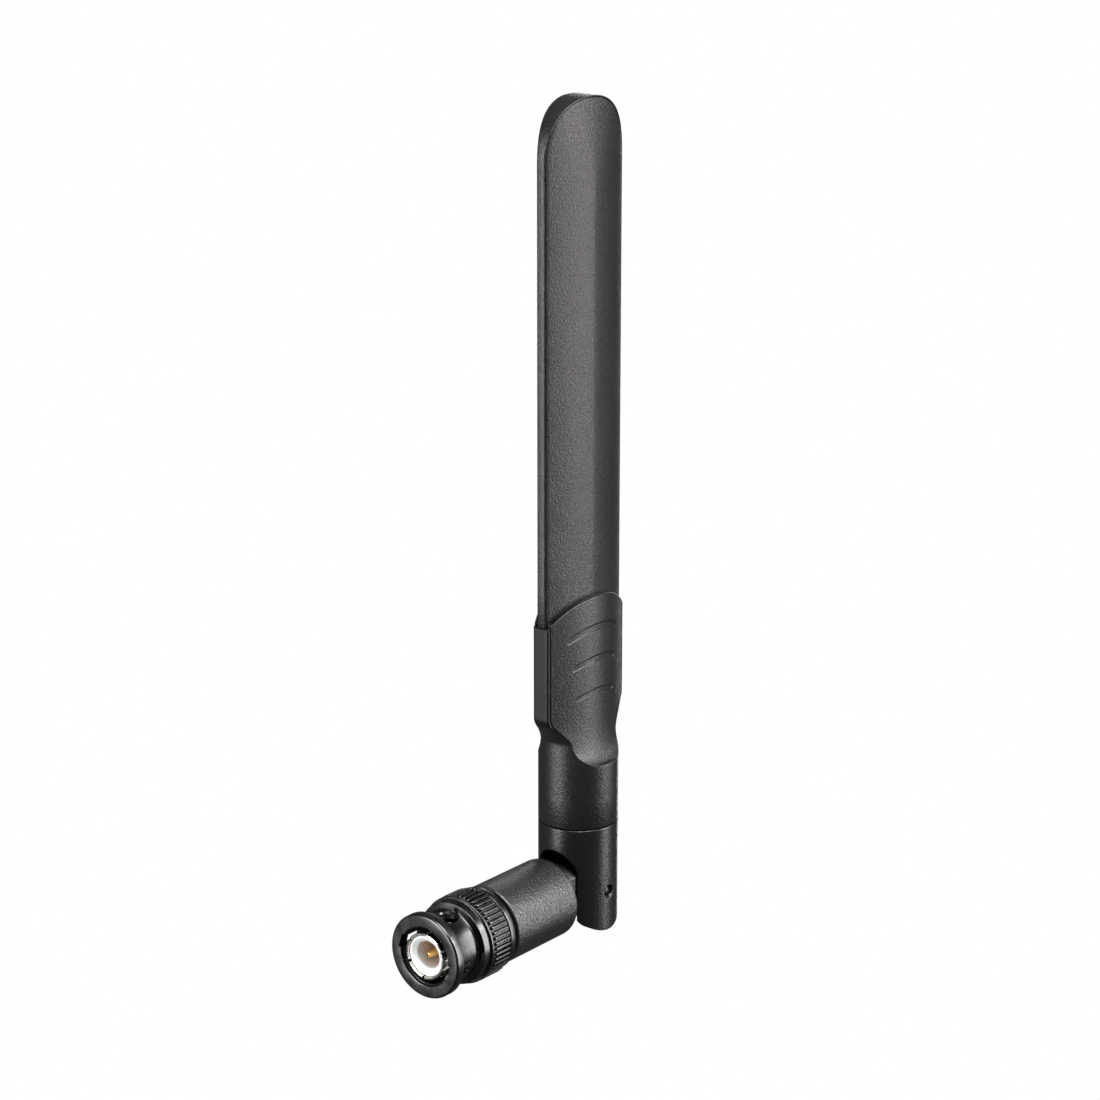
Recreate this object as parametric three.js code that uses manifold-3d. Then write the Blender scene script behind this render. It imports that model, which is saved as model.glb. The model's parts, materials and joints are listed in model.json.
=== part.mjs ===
// Paddle antenna with a tilting knuckle and a bayonet plug, in millimetres, +Z up.
// Origin: on the plug's axis at its mating front. The plug's axis is Y, and the mating part leaves
// towards -Y. The paddle stands on the knuckle, along +Z, with its broad faces towards +X and -X.
import * as THREE from 'three';
import { mergeVertices } from 'three/addons/utils/BufferGeometryUtils.js';
import Module from 'manifold-3d';

const wasm = await Module();
wasm.setup();

// ---- driving dimensions -------------------------------------------------------------------------

const TURN = 2 * Math.PI;
const FIT = 0.1; // radial play between turned pieces that slide together
const GAP = 0.3; // gap between faces that meet end to end
const OUT = 3; // how far a cutting tool reaches past the face that it cuts
const ROUND = 32; // sides of a large turned piece
const SMALL = 16; // sides of a small turned piece

const PIVOT_Y = 41.5; // hinge pin, from the plug's mating front
const NECK_R = 7.08;
const CHEEK_R = 7.25; // rounded ends of the fork's cheeks, about the pin
const SLOT_HALF = 4.2;
const SLOT_ARCH_Z = 3.9; // centre of the slot's arched top
const BALL_R = 5.4; // rounded tongue
const TONGUE_HALF = 4.0;
const SEAM_Z = 12.5; // joint line between the fork and the grip
const SEAM_GAP = 0.2;

const BARREL_R = 7.12;
const BARREL_FRONT = 16.3;
const BARREL_BACK = 32.8;
const SPIGOT_R = 3.6;
const SPIGOT_BORE = 3.75;

const BLADE = { half: 10.45, ridge: 3.2, edge: 0.78, top: 140.1, foot: 34.6, tang: 8.9 };
const SHOULDER = 50.15; // where the paddle widens, just above the grip's narrow sides
const TIP = { from: 124, ridge: 2.35 }; // where the ridge starts to sink, and its height at the top
const BOW = 0.45; // how far the paddle's facets are bowed, from flat to a parabola
const WALL = 1.1;
const RIM = 0.2; // width of the tray's rim round the cover
const PARTING = 0.12; // gap between the rim and the cover
const CAVITY = 2.3; // from the paddle's outline to the hollow inside it

const GRIP = { half: 10.55, band: 1.67, edgeX: 1.87, edgeY: 9.8, corner: 50.05, crown: 54.4 };
const FLARE = { from: 28.0, to: 33.6 }; // heights between which the round neck turns into the flat grip
const PAD = { deep: 4.4, ridge: 2.0 }; // half thickness at the pads' middle, and how softly they crown
const SCOOP = { z: 24.2, deep: 6.35, fall: 1.6, ridge: 12 }; // lower end of the thumb scoops
const SCOOP_WIDE = { share: 0.5, at: 28.5 }; // where the scoop has its full width, as a share of the neck
const SCOOP_CROWNED = 31.0; // where the scoop's floor has become the pad's crowned face

const BOARD = { half: 6.6, thick: 0.6, low: 41.0, top: 134.0 };
const FEED_Z = 90.0;

const CABLE_R = 0.69;
const CABLE_BEND = 5.0;
const CABLE_X = 1.15; // where the cable lies on the board
const CUP_REACH = 1.0; // how far the bare conductor stands in the pin's cup

const NUT_BORE = 4.9;
const NUT_ROOM = 6.1;
const KNURLS = 50;

// ---- materials ----------------------------------------------------------------------------------

const material = (color, roughness, metalness) =>
  new THREE.MeshStandardMaterial({ color, roughness, metalness });

const MATERIALS = {
  shell: material(0x353334, 0.62, 0.0),
  knuckle: material(0x343434, 0.5, 0.0),
  black_metal: material(0x101012, 0.22, 0.8),
  contact: material(0xb9b4a8, 0.25, 1.0),
  gold: material(0xd9a441, 0.25, 1.0),
  ptfe: material(0xf1f0ec, 0.5, 0.0),
  rubber: material(0x1b1b1b, 0.8, 0.0),
  steel: material(0xa5a7aa, 0.3, 1.0),
  board: material(0x2c5a35, 0.5, 0.0),
  copper: material(0xb8693c, 0.3, 1.0),
  solder: material(0xc4c6c8, 0.3, 1.0),
  foam: material(0x6a6a6c, 0.95, 0.0),
  jacket: material(0x4a3020, 0.45, 0.0),
};

// ---- turning geometry into solids and back ------------------------------------------------------

// One closed triangle mesh with shared corners, no collapsed triangles, and its faces outwards.
function welded(geometry) {
  const bare = geometry.clone();
  bare.deleteAttribute('normal');
  bare.deleteAttribute('uv');
  const merged = mergeVertices(bare, 1e-4);
  const points = merged.getAttribute('position');
  const corners = Array.from(merged.index.array);
  const kept = [];
  let volume = 0;
  const [a, b, c] = [new THREE.Vector3(), new THREE.Vector3(), new THREE.Vector3()];
  for (let i = 0; i < corners.length; i += 3) {
    const [p, q, r] = corners.slice(i, i + 3);
    if (p === q || q === r || r === p) continue;
    kept.push(p, q, r);
    a.fromBufferAttribute(points, p);
    b.fromBufferAttribute(points, q);
    c.fromBufferAttribute(points, r);
    volume += a.dot(b.cross(c)) / 6;
  }
  if (volume < 0) kept.reverse();
  return { points: new Float32Array(points.array), corners: new Uint32Array(kept) };
}

function solid(geometry) {
  const { points, corners } = welded(geometry);
  return new wasm.Manifold(new wasm.Mesh({ numProp: 3, vertProperties: points, triVerts: corners }));
}

function surface(body) {
  const mesh = body.getMesh();
  const geometry = new THREE.BufferGeometry();
  geometry.setAttribute('position', new THREE.BufferAttribute(Float32Array.from(mesh.vertProperties), 3));
  geometry.setIndex(Array.from(mesh.triVerts));
  geometry.computeVertexNormals();
  return geometry;
}

const cut = (body, ...tools) => tools.reduce((rest, tool) => rest.subtract(tool), body);
const join = (body, ...others) => others.reduce((sum, other) => sum.add(other), body);

// ---- basic shapes -------------------------------------------------------------------------------

// Turned about the plug's axis. The profile is a list of [radius, y].
function turned(profile, sides = ROUND) {
  const points = profile.map(([r, y]) => new THREE.Vector2(r, y));
  return new THREE.LatheGeometry(points, sides);
}

const tube = (inner, outer, from, to) =>
  [[inner, from], [outer, from], [outer, to], [inner, to], [inner, from]];

const rod = (radius, from, to) => [[0, from], [radius, from], [radius, to], [0, to]];

// Turned about the paddle's axis. The profile is a list of [radius, z].
function upright(profile, sides = ROUND) {
  return turned(profile, sides).rotateX(Math.PI / 2).translate(0, PIVOT_Y, 0);
}

// Turned about the hinge pin. The profile is a list of [radius, x].
function crosswise(profile, sides = SMALL) {
  return turned(profile, sides).rotateZ(-Math.PI / 2).translate(0, PIVOT_Y, 0);
}

const slab = (outline, depth, curveSegments) =>
  new THREE.ExtrudeGeometry(outline, { depth, bevelEnabled: false, curveSegments });

// An outline in Y and Z, carried along X. Its Y is measured from the paddle's axis.
function alongX(outline, from, to, steps = 10) {
  const shape = slab(outline, to - from, steps);
  const axes = new THREE.Matrix4().makeBasis(
    new THREE.Vector3(0, 1, 0), new THREE.Vector3(0, 0, 1), new THREE.Vector3(1, 0, 0));
  return shape.applyMatrix4(axes).translate(from, PIVOT_Y, 0);
}

// An outline in X and Z, carried along Y.
function alongY(outline, from, to, steps = 10) {
  const shape = slab(outline, to - from, steps);
  const axes = new THREE.Matrix4().makeBasis(
    new THREE.Vector3(1, 0, 0), new THREE.Vector3(0, 0, 1), new THREE.Vector3(0, -1, 0));
  return shape.applyMatrix4(axes).translate(0, to, 0);
}

// An outline in X and Y about the paddle's axis, carried along Z.
function alongZ(outline, from, to, steps = 10) {
  return slab(outline, to - from, steps).translate(0, PIVOT_Y, from);
}

const polygon = (points) => new THREE.Shape(points.map(([u, v]) => new THREE.Vector2(u, v)));

const box = (x, y, z) =>
  new THREE.BoxGeometry(x[1] - x[0], y[1] - y[0], z[1] - z[0])
    .translate((x[0] + x[1]) / 2, (y[0] + y[1]) / 2, (z[0] + z[1]) / 2);

// Angle in the plug's plane, in degrees from +X towards +Z, as a turn about Y from +Z.
const fromTop = (degrees) => THREE.MathUtils.degToRad(90 - degrees);

// A strip that stands upright and ends in a half circle at its top.
function archedStrip(half, low, top) {
  const outline = new THREE.Shape();
  outline.moveTo(-half, low);
  outline.lineTo(half, low);
  outline.lineTo(half, top - half);
  outline.absarc(0, top - half, half, 0, Math.PI, false);
  outline.closePath();
  return outline;
}

// ---- plug ---------------------------------------------------------------------------------------

const CONTACT = { inner: 3.68, outer: 4.15, tail: 10.5, slots: 6, slotWide: 0.45, slotEnd: 6.5, turn: 26 };
const FLANGE = { radius: 5.8, from: 9.5, to: 10.9 };
const HUB_R = 4.3;
const HUB_END = 16.0;
const SPIGOT_END = 25.2;
const TAIL_R = 1.6;
const TAIL_END = 29.5;
const TAIL_BORE = CABLE_R + 0.16;
const SEAT_BORE = 2.6; // holds the insulator's tail
const SEAT_END = 13.4;
const RING_GROOVE = { y: 18.6, wide: 1.1, depth: 0.72 };
const CLIP_GROOVE = { y: 23.0, wide: 1.0, depth: 0.5 };

function connectorBody() {
  const groove = ({ y, wide, depth }) =>
    [[SPIGOT_R, y], [SPIGOT_R - depth, y], [SPIGOT_R - depth, y + wide], [SPIGOT_R, y + wide]];
  return turned([
    [CONTACT.outer + FIT, FLANGE.from], [FLANGE.radius, FLANGE.from], [FLANGE.radius, FLANGE.to],
    [HUB_R, FLANGE.to], [HUB_R, HUB_END], [SPIGOT_R, HUB_END],
    ...groove(RING_GROOVE), ...groove(CLIP_GROOVE),
    [SPIGOT_R, SPIGOT_END], [TAIL_R, SPIGOT_END], [TAIL_R, TAIL_END], [TAIL_BORE, TAIL_END],
    [TAIL_BORE, SEAT_END], [SEAT_BORE, SEAT_END], [SEAT_BORE, CONTACT.tail + FIT],
    [CONTACT.outer + FIT, CONTACT.tail + FIT], [CONTACT.outer + FIT, FLANGE.from],
  ]);
}

// The springy outer contact: a thin tube slit from the front into fingers.
function outerContact() {
  const { inner, outer, tail, slots, slotWide, slotEnd, turn } = CONTACT;
  const slits = Array.from({ length: slots }, (_, i) => {
    const slit = box([-slotWide / 2, slotWide / 2], [-OUT, slotEnd], [inner - 1, outer + 1]);
    return solid(slit.rotateY(fromTop(turn) + i * TURN / slots));
  });
  const sleeve = turned([
    [inner, 0.15], [outer - 0.12, 0.05], [outer, 0.35], [outer, tail], [inner, tail], [inner, 0.15],
  ]);
  return surface(cut(solid(sleeve), ...slits));
}

const PIN = { tip: 0.9, radius: 0.675, collar: 6.6, collarR: 1.0, end: 13.1, cup: 0.55, cupDepth: 1.7 };
const SOCKET = { radius: 2.45, end: 5.6 };

function insulator() {
  const outer = CONTACT.inner - FIT;
  return turned([
    [SOCKET.radius, 1.0], [3.1, 0.4], [outer, 0.4], [outer, CONTACT.tail + FIT],
    [SEAT_BORE - FIT, CONTACT.tail + FIT], [SEAT_BORE - FIT, PIN.end],
    [PIN.collarR + FIT, PIN.end], [PIN.collarR + FIT, PIN.collar - FIT],
    [PIN.radius + FIT, PIN.collar - FIT], [PIN.radius + FIT, SOCKET.end], [SOCKET.radius, SOCKET.end],
    [SOCKET.radius, 1.0],
  ]);
}

function centerPin() {
  const { tip, radius, collar, collarR, end, cup, cupDepth } = PIN;
  return turned([
    [0, tip], [radius * 0.55, tip + 0.08], [radius * 0.9, tip + 0.35], [radius, tip + 0.8],
    [radius, collar],
    [collarR, collar], [collarR, end], [cup, end], [cup, end - cupDepth], [0, end - cupDepth],
  ], SMALL);
}

const sealingGasket = () => turned(tube(CONTACT.outer + FIT, NUT_BORE - FIT, 8.3, FLANGE.from - GAP));

const crimpFerrule = () =>
  turned(tube(TAIL_R + FIT, TAIL_R + 0.55, SPIGOT_END + GAP, TAIL_END + 1.2), SMALL);

const swivelRing = () =>
  new THREE.TorusGeometry(3.32, 0.36, 6, SMALL + 8)
    .rotateX(Math.PI / 2)
    .translate(0, RING_GROOVE.y + RING_GROOVE.wide / 2, 0);

// An open ring of wire, as a flat ring with a mouth cut out of it.
function openRing(inner, outer, from, to, mouth) {
  const ring = solid(turned(tube(inner, outer, from, to)));
  return surface(cut(ring, solid(box([-mouth / 2, mouth / 2], [from - 1, to + 1], [0, outer + OUT]))));
}

const swivelClip = () => {
  const from = CLIP_GROOVE.y + 0.15;
  return openRing(SPIGOT_R - CLIP_GROOVE.depth + FIT, SPIGOT_R + 0.5, from, from + 0.7, 2.4);
};

// A wavy ring spring between the flange and the thrust washer.
const WAVE = { inner: 4.5, outer: 5.7, middle: 11.65, rise: 0.3, thick: 0.25, waves: 3 };

function waveWasher() {
  const { inner, outer, middle, rise, thick, waves } = WAVE;
  const ring = turned(tube(inner, outer, middle - thick / 2, middle + thick / 2));
  const points = ring.getAttribute('position');
  for (let i = 0; i < points.count; i += 1) {
    const angle = Math.atan2(points.getX(i), points.getZ(i));
    points.setY(i, points.getY(i) + rise * Math.cos(waves * angle));
  }
  return ring;
}

const THRUST = { from: 12.3, to: 12.8 };
const thrustWasher = () => turned(tube(HUB_R + FIT, NUT_ROOM - FIT, THRUST.from, THRUST.to));

// ---- coupling nut -------------------------------------------------------------------------------

const NUT = {
  lip: 7.45, lipEnd: 1.8, drum: 6.1, drumEnd: 6.9, land: 7.3, landEnd: 8.7, rim: 7.75, rimEnd: 9.3,
  groove: 7.3, knurl: 7.8, knurlFrom: 9.6, knurlEnd: 13.9, collar: 7.45, end: 15.4,
};
const LOCK = { turn: 80, y: 5.0, radius: 1.75 }; // where the bayonet stud comes to rest
const ENTRY = { turn: -17, wide: 2.7, deep: 5.6, windowFrom: 2.0, windowEnd: 4.9 };
const NUT_RING = { from: 13.1, thick: 0.7, deep: 6.55 };

function knurlBand() {
  const outline = new THREE.Shape();
  for (let i = 0; i < KNURLS; i += 1) {
    for (const [share, radius] of [[0, NUT.knurl], [0.5, NUT.groove + 0.05]]) {
      const angle = (i + share) / KNURLS * TURN;
      const [u, v] = [radius * Math.cos(angle), radius * Math.sin(angle)];
      if (i + share === 0) outline.moveTo(u, v);
      else outline.lineTo(u, v);
    }
  }
  outline.closePath();
  return alongY(outline, NUT.knurlFrom, NUT.knurlEnd);
}

// The cam groove inside the drum that draws a bayonet stud from the entry to the lock.
class CamPath extends THREE.Curve {
  constructor(startTurn) {
    super();
    this.startTurn = startTurn;
  }

  getPoint(t, target = new THREE.Vector3()) {
    const angle = THREE.MathUtils.degToRad(this.startTurn + t * (LOCK.turn - ENTRY.turn));
    const y = THREE.MathUtils.lerp(ENTRY.windowEnd - 1.3, LOCK.y, t);
    return target.set(NUT_BORE * Math.cos(angle), y, NUT_BORE * Math.sin(angle));
  }
}

function camGroove(side) {
  const reach = ENTRY.deep - NUT_BORE;
  const section = polygon([[-reach, -1.15], [reach, -1.15], [reach, 1.15], [-reach, 1.15]]);
  return new THREE.ExtrudeGeometry(section, {
    steps: 10, extrudePath: new CamPath(ENTRY.turn + side * 180), bevelEnabled: false,
  });
}

function couplingNut() {
  const outside = turned([
    [0, 0], [NUT.lip - 0.55, 0], [NUT.lip, 0.45],
    [NUT.lip, NUT.lipEnd - 0.25], [NUT.lip - 0.25, NUT.lipEnd],
    [NUT.drum, NUT.lipEnd], [NUT.drum, NUT.drumEnd], [NUT.land, NUT.drumEnd + 0.5],
    [NUT.land, NUT.landEnd], [NUT.rim, NUT.landEnd + 0.1], [NUT.rim, NUT.rimEnd - 0.1],
    [NUT.groove, NUT.rimEnd], [NUT.groove, NUT.knurlEnd], [NUT.collar, NUT.knurlEnd + 0.1],
    [NUT.collar, NUT.end - 0.3], [NUT.collar - 0.3, NUT.end], [0, NUT.end],
  ]);
  const ringEnd = NUT_RING.from + NUT_RING.thick + 0.3;
  const inside = turned([
    [0, -OUT], [5.15, -OUT], [5.15, 0.2], [NUT_BORE, 0.7], [NUT_BORE, 9.2], [NUT_ROOM, 9.2],
    [NUT_ROOM, NUT_RING.from - 0.15], [NUT_RING.deep, NUT_RING.from - 0.15], [NUT_RING.deep, ringEnd],
    [NUT_ROOM, ringEnd], [NUT_ROOM, NUT.end + OUT], [0, NUT.end + OUT],
  ]);
  const cuts = [solid(inside)];
  for (const side of [0, 1]) {
    const lock = new THREE.CylinderGeometry(LOCK.radius, LOCK.radius, 5, SMALL).rotateX(Math.PI / 2);
    lock.translate(0, LOCK.y, 6.5).rotateY(fromTop(LOCK.turn + side * 180));
    const half = ENTRY.wide / 2;
    const slot = box([-half, half], [-OUT, ENTRY.windowEnd], [3, ENTRY.deep]);
    const window = box([-half, half], [ENTRY.windowFrom, ENTRY.windowEnd], [3, 9]);
    slot.rotateY(fromTop(ENTRY.turn + side * 180));
    window.rotateY(fromTop(ENTRY.turn + side * 180));
    cuts.push(solid(lock), solid(slot), solid(window), solid(camGroove(side)));
  }
  return surface(cut(join(solid(outside), solid(knurlBand())), ...cuts));
}

const nutRetainingRing = () =>
  openRing(HUB_R + 0.45, NUT_RING.deep - FIT, NUT_RING.from, NUT_RING.from + NUT_RING.thick, 3);

// ---- knuckle ------------------------------------------------------------------------------------

const PIVOT_R = 0.95;
const PIVOT_FROM = 1.9;
const PIVOT_TO = 6.75;
const WASHER = { inner: 1.1, outer: 2.5, from: 3.5, to: 4.1 };

// The barrel turns on the plug's spigot. Its rounded tongue stands in the fork's slot.
function swivelBarrel() {
  const round = 0.5;
  const outside = turned([
    [0, BARREL_FRONT], [BARREL_R - 0.3, BARREL_FRONT], [BARREL_R, BARREL_FRONT + 0.3],
    [BARREL_R, BARREL_BACK - round], [BARREL_R - round, BARREL_BACK], [0, BARREL_BACK],
  ]);
  const stem = turned(rod(BALL_R, BARREL_BACK - 1, PIVOT_Y));
  const ball = new THREE.SphereGeometry(BALL_R, ROUND, 14).rotateX(Math.PI / 2).translate(0, PIVOT_Y, 0);
  const flats = box([-TONGUE_HALF, TONGUE_HALF], [BARREL_BACK - 2, PIVOT_Y + 9], [-9, 9]);
  const tongue = join(solid(stem), solid(ball)).intersect(solid(flats));
  const clipFrom = CLIP_GROOVE.y - 0.15;
  const clipTo = CLIP_GROOVE.y + CLIP_GROOVE.wide + 0.15;
  const bore = turned([
    [0, BARREL_FRONT - OUT], [SPIGOT_BORE, BARREL_FRONT - OUT], [SPIGOT_BORE, clipFrom],
    [SPIGOT_R + 0.65, clipFrom], [SPIGOT_R + 0.65, clipTo], [SPIGOT_BORE, clipTo],
    [SPIGOT_BORE, SPIGOT_END + 0.6], [TAIL_R + 0.9, SPIGOT_END + 0.6], [TAIL_R + 0.9, TAIL_END + 1.6],
    [CABLE_R + 0.4, TAIL_END + 2.4], [CABLE_R + 0.4, PIVOT_Y - 4], [0, PIVOT_Y - 4],
  ]);
  const room = CABLE_R + 0.4; // half width of the channel that the cable swings in
  const channel = box([-room, room], [PIVOT_Y - 4.5, PIVOT_Y + 9], [-room, 9]);
  const hole = crosswise(rod(PIVOT_R + 0.06, -9, 9));
  const seats = [-1, 1].map((side) => {
    const [near, far] = [WASHER.from - 0.1, TONGUE_HALF + 1].map((x) => side * x);
    return solid(crosswise(rod(WASHER.outer + FIT, Math.min(near, far), Math.max(near, far))));
  });
  const whole = join(solid(outside), tongue);
  return surface(cut(whole, solid(bore), solid(channel), solid(hole), ...seats));
}

const mirrored = (side, from, to) => (side > 0 ? [from, to] : [-to, -from]);

const frictionWasher = (side) =>
  crosswise(tube(WASHER.inner, WASHER.outer, ...mirrored(side, WASHER.from, WASHER.to)));

// A stub pin with a domed outer end, which stands a little below the cheek's surface.
function pivotPin(side) {
  const dome = 0.25;
  const pin = crosswise([
    [0, PIVOT_FROM], [PIVOT_R - 0.15, PIVOT_FROM], [PIVOT_R, PIVOT_FROM + 0.15], [PIVOT_R, PIVOT_TO - dome],
    [PIVOT_R * 0.7, PIVOT_TO - dome * 0.3], [0, PIVOT_TO],
  ]);
  return side > 0 ? pin : pin.translate(0, -PIVOT_Y, 0).rotateZ(Math.PI).translate(0, PIVOT_Y, 0);
}

// ---- fork ---------------------------------------------------------------------------------------

const FORK_TOP = SEAM_Z - SEAM_GAP / 2;
const PLUG_R = 5.4; // the fork's spigot inside the grip's neck
const PLUG_TOP = 18.2;

function hingeFork() {
  const stock = solid(upright([
    [0, -CHEEK_R], [NECK_R, -CHEEK_R], [NECK_R, FORK_TOP], [PLUG_R, FORK_TOP], [PLUG_R, PLUG_TOP - 0.4],
    [PLUG_R - 0.4, PLUG_TOP], [0, PLUG_TOP],
  ]));
  const rounding = new THREE.Shape();
  rounding.moveTo(CHEEK_R, 0);
  rounding.lineTo(CHEEK_R, PLUG_TOP + 1);
  rounding.lineTo(-CHEEK_R, PLUG_TOP + 1);
  rounding.lineTo(-CHEEK_R, 0);
  rounding.absarc(0, 0, CHEEK_R, Math.PI, TURN, false);
  const front = new THREE.Shape();
  front.moveTo(-SLOT_HALF, -CHEEK_R - OUT);
  front.lineTo(SLOT_HALF, -CHEEK_R - OUT);
  front.lineTo(SLOT_HALF, SLOT_ARCH_Z);
  front.absarc(0, SLOT_ARCH_Z, SLOT_HALF, 0, Math.PI, false);
  const back = BALL_R + 0.25; // the slot's closed back is round about the paddle's axis
  const start = Math.asin(SLOT_HALF / back);
  const plan = new THREE.Shape();
  plan.moveTo(-SLOT_HALF, -NECK_R - OUT);
  plan.lineTo(SLOT_HALF, -NECK_R - OUT);
  plan.lineTo(SLOT_HALF, back * Math.cos(start));
  plan.absarc(0, 0, back, Math.PI / 2 - start, Math.PI / 2 + start, false);
  const slot = solid(alongY(front, PIVOT_Y - NECK_R - OUT, PIVOT_Y + NECK_R + OUT, 12))
    .intersect(solid(alongZ(plan, -CHEEK_R - OUT, SLOT_ARCH_Z + SLOT_HALF + 1, 8)));
  const lane = upright(rod(CABLE_R + 1.2, SLOT_ARCH_Z, PLUG_TOP + OUT), SMALL);
  const holes = crosswise(rod(PIVOT_R + 0.05, -9, 9));
  const rounded = stock.intersect(solid(alongX(rounding, -9, 9, 12)));
  return surface(cut(rounded, slot, solid(lane), solid(holes)));
}

// ---- grip ---------------------------------------------------------------------------------------

// How far the section has turned from the round neck into the flat grip, from 0 to 1.
const flare = (z) => THREE.MathUtils.smoothstep(z, FLARE.from, FLARE.to);

// Half thickness at the middle of the pads. The thumb scoop curves in from its lip on the neck.
const padDepth = (z) => PAD.deep + (SCOOP.deep - PAD.deep) * Math.exp(-(z - SCOOP.z) / SCOOP.fall);

// A quarter of the section at height z, from the middle of a pad (on X) to the middle of a side (on Y).
function gripQuarter(z, padSteps, sideSteps) {
  const { lerp, smoothstep } = THREE.MathUtils;
  const open = z > SCOOP.z;
  const turn = flare(z);
  const deep = open ? padDepth(z) : SCOOP.deep;
  const widening = smoothstep(z, SCOOP.z, SCOOP_WIDE.at);
  const tilt = Math.acos(Math.min(1, lerp(deep / NECK_R, SCOOP_WIDE.share, widening)));
  const onNeck = (angle) => [NECK_R * Math.cos(angle), NECK_R * Math.sin(angle)];
  const towards = ([x, y], [u, v]) => [lerp(x, u, turn), lerp(y, v, turn)];
  const edge = towards(onNeck(tilt), [GRIP.edgeX, GRIP.edgeY]);
  const soft = lerp(SCOOP.ridge, PAD.ridge, smoothstep(z, SCOOP.z, SCOOP_CROWNED));
  const sink = (y) => Math.hypot(y, soft) - soft;
  const points = [];
  for (let i = 0; i < padSteps; i += 1) {
    const share = i / padSteps;
    if (open) {
      const y = share * edge[1];
      points.push([edge[0] + (deep - edge[0]) * (1 - sink(y) / sink(edge[1])), y]);
    } else {
      points.push(onNeck(share * tilt));
    }
  }
  points.push(edge);
  const flat = [[GRIP.band, GRIP.edgeY + 0.05], [GRIP.band, GRIP.half - 0.2], [GRIP.band - 0.2, GRIP.half]];
  for (let i = 1; i <= sideSteps; i += 1) {
    const round = tilt + (Math.PI / 2 - tilt) * i / sideSteps;
    const last = (sideSteps - i) / (sideSteps - flat.length) * (GRIP.band - 0.2);
    points.push(towards(onNeck(round), i <= flat.length ? flat[i - 1] : [last, GRIP.half]));
  }
  return points;
}

// The whole section, as points going round from the middle of the +X pad.
function gripRing(z) {
  const quarter = gripQuarter(z, 7, 6);
  const half = [...quarter, ...quarter.slice(0, -1).reverse().map(([x, y]) => [-x, y])];
  return [...half, ...half.slice(1, -1).reverse().map(([x, y]) => [x, -y])];
}

// A closed body through rings of points at rising heights, with a fan over each end.
function loft(rings, heights) {
  const count = rings[0].length;
  const points = rings.flatMap((ring, k) => ring.flatMap(([x, y]) => [x, PIVOT_Y + y, heights[k]]));
  points.push(0, PIVOT_Y, heights[0], 0, PIVOT_Y, heights[heights.length - 1]);
  const [foot, head] = [count * rings.length, count * rings.length + 1];
  const corners = [];
  for (let i = 0; i < count; i += 1) {
    const next = (i + 1) % count;
    for (let k = 0; k + 1 < rings.length; k += 1) {
      const [a, b] = [k * count + i, k * count + next];
      corners.push(a, b, b + count, a, b + count, a + count);
    }
    const top = (rings.length - 1) * count;
    corners.push(foot, next, i, head, top + i, top + next);
  }
  const geometry = new THREE.BufferGeometry();
  geometry.setAttribute('position', new THREE.Float32BufferAttribute(points, 3));
  geometry.setIndex(corners);
  return geometry;
}

function gripLoft() {
  const ledge = [SCOOP.z, SCOOP.z + 0.02];
  const rising = [24.7, 25.4, 26.2, 27.1, 28, 28.9, 29.8, 30.7, 31.6, 32.6, 33.6];
  const heights = [SEAM_Z + SEAM_GAP / 2, ...ledge, ...rising, GRIP.crown + 1];
  return loft(heights.map(gripRing), heights);
}

// The outline of the grip's upper end: upright sides and a shallow arch over the paddle.
function gripCrown(low) {
  const sag = GRIP.crown - GRIP.corner;
  const half = GRIP.half + 0.01;
  const radius = (half ** 2 + sag ** 2) / (2 * sag);
  const reach = Math.asin(half / radius);
  const outline = new THREE.Shape();
  outline.moveTo(-half, low);
  outline.lineTo(half, low);
  outline.lineTo(half, GRIP.corner);
  outline.absarc(0, GRIP.crown - radius, radius, Math.PI / 2 - reach, Math.PI / 2 + reach, false);
  return outline;
}

// Three very shallow finger grooves across each pad, each an arched band with round ends.
const GROOVES = [
  { z: 48.15, half: 6.2, wide: 1.3 },
  { z: 42.55, half: 5.2, wide: 1.15 },
  { z: 36.75, half: 4.7, wide: 0.95 },
];
const GROOVE_SAG = 0.036; // fall of the band per square of the distance from its middle
const GROOVE_DEPTH = 0.2;

function fingerGroove({ z, half, wide }) {
  const arched = (y) => z - GROOVE_SAG * y * y;
  const outline = new THREE.Shape();
  outline.moveTo(-half, arched(half));
  outline.quadraticCurveTo(0, 2 * z - arched(half), half, arched(half));
  outline.quadraticCurveTo(half + wide * 0.6, arched(half) + wide / 2, half, arched(half) + wide);
  outline.quadraticCurveTo(0, 2 * z - arched(half) + wide, -half, arched(half) + wide);
  outline.quadraticCurveTo(-half - wide * 0.6, arched(half) + wide / 2, -half, arched(half));
  return solid(alongX(outline, -9, 9, 4));
}

// The grip's section drawn in, which is as deep as the finger grooves go.
function groovesFloor() {
  const ring = gripRing(GRIP.crown).map(([x, y]) => [x - Math.sign(x) * GROOVE_DEPTH, y]);
  return solid(alongZ(polygon(ring), SEAM_Z, GRIP.crown + OUT));
}

// Half thickness of the paddle at a distance from its middle: a ridge between two bowed facets.
function faceHeight(y) {
  const share = Math.abs(y) / BLADE.half;
  return BLADE.ridge - (BLADE.ridge - BLADE.edge) * THREE.MathUtils.lerp(share, share ** 2, BOW);
}

// The paddle's section out to a half width, with its faces raised or, below zero, lowered.
function paddleSection(half, raised) {
  const across = [-1, -0.5, 0, 0.5, 1].map((share) => share * half);
  const front = across.map((y) => [faceHeight(y) + raised, y]);
  return polygon([...front, ...front.map(([x, y]) => [-x, y]).reverse()]);
}

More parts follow.
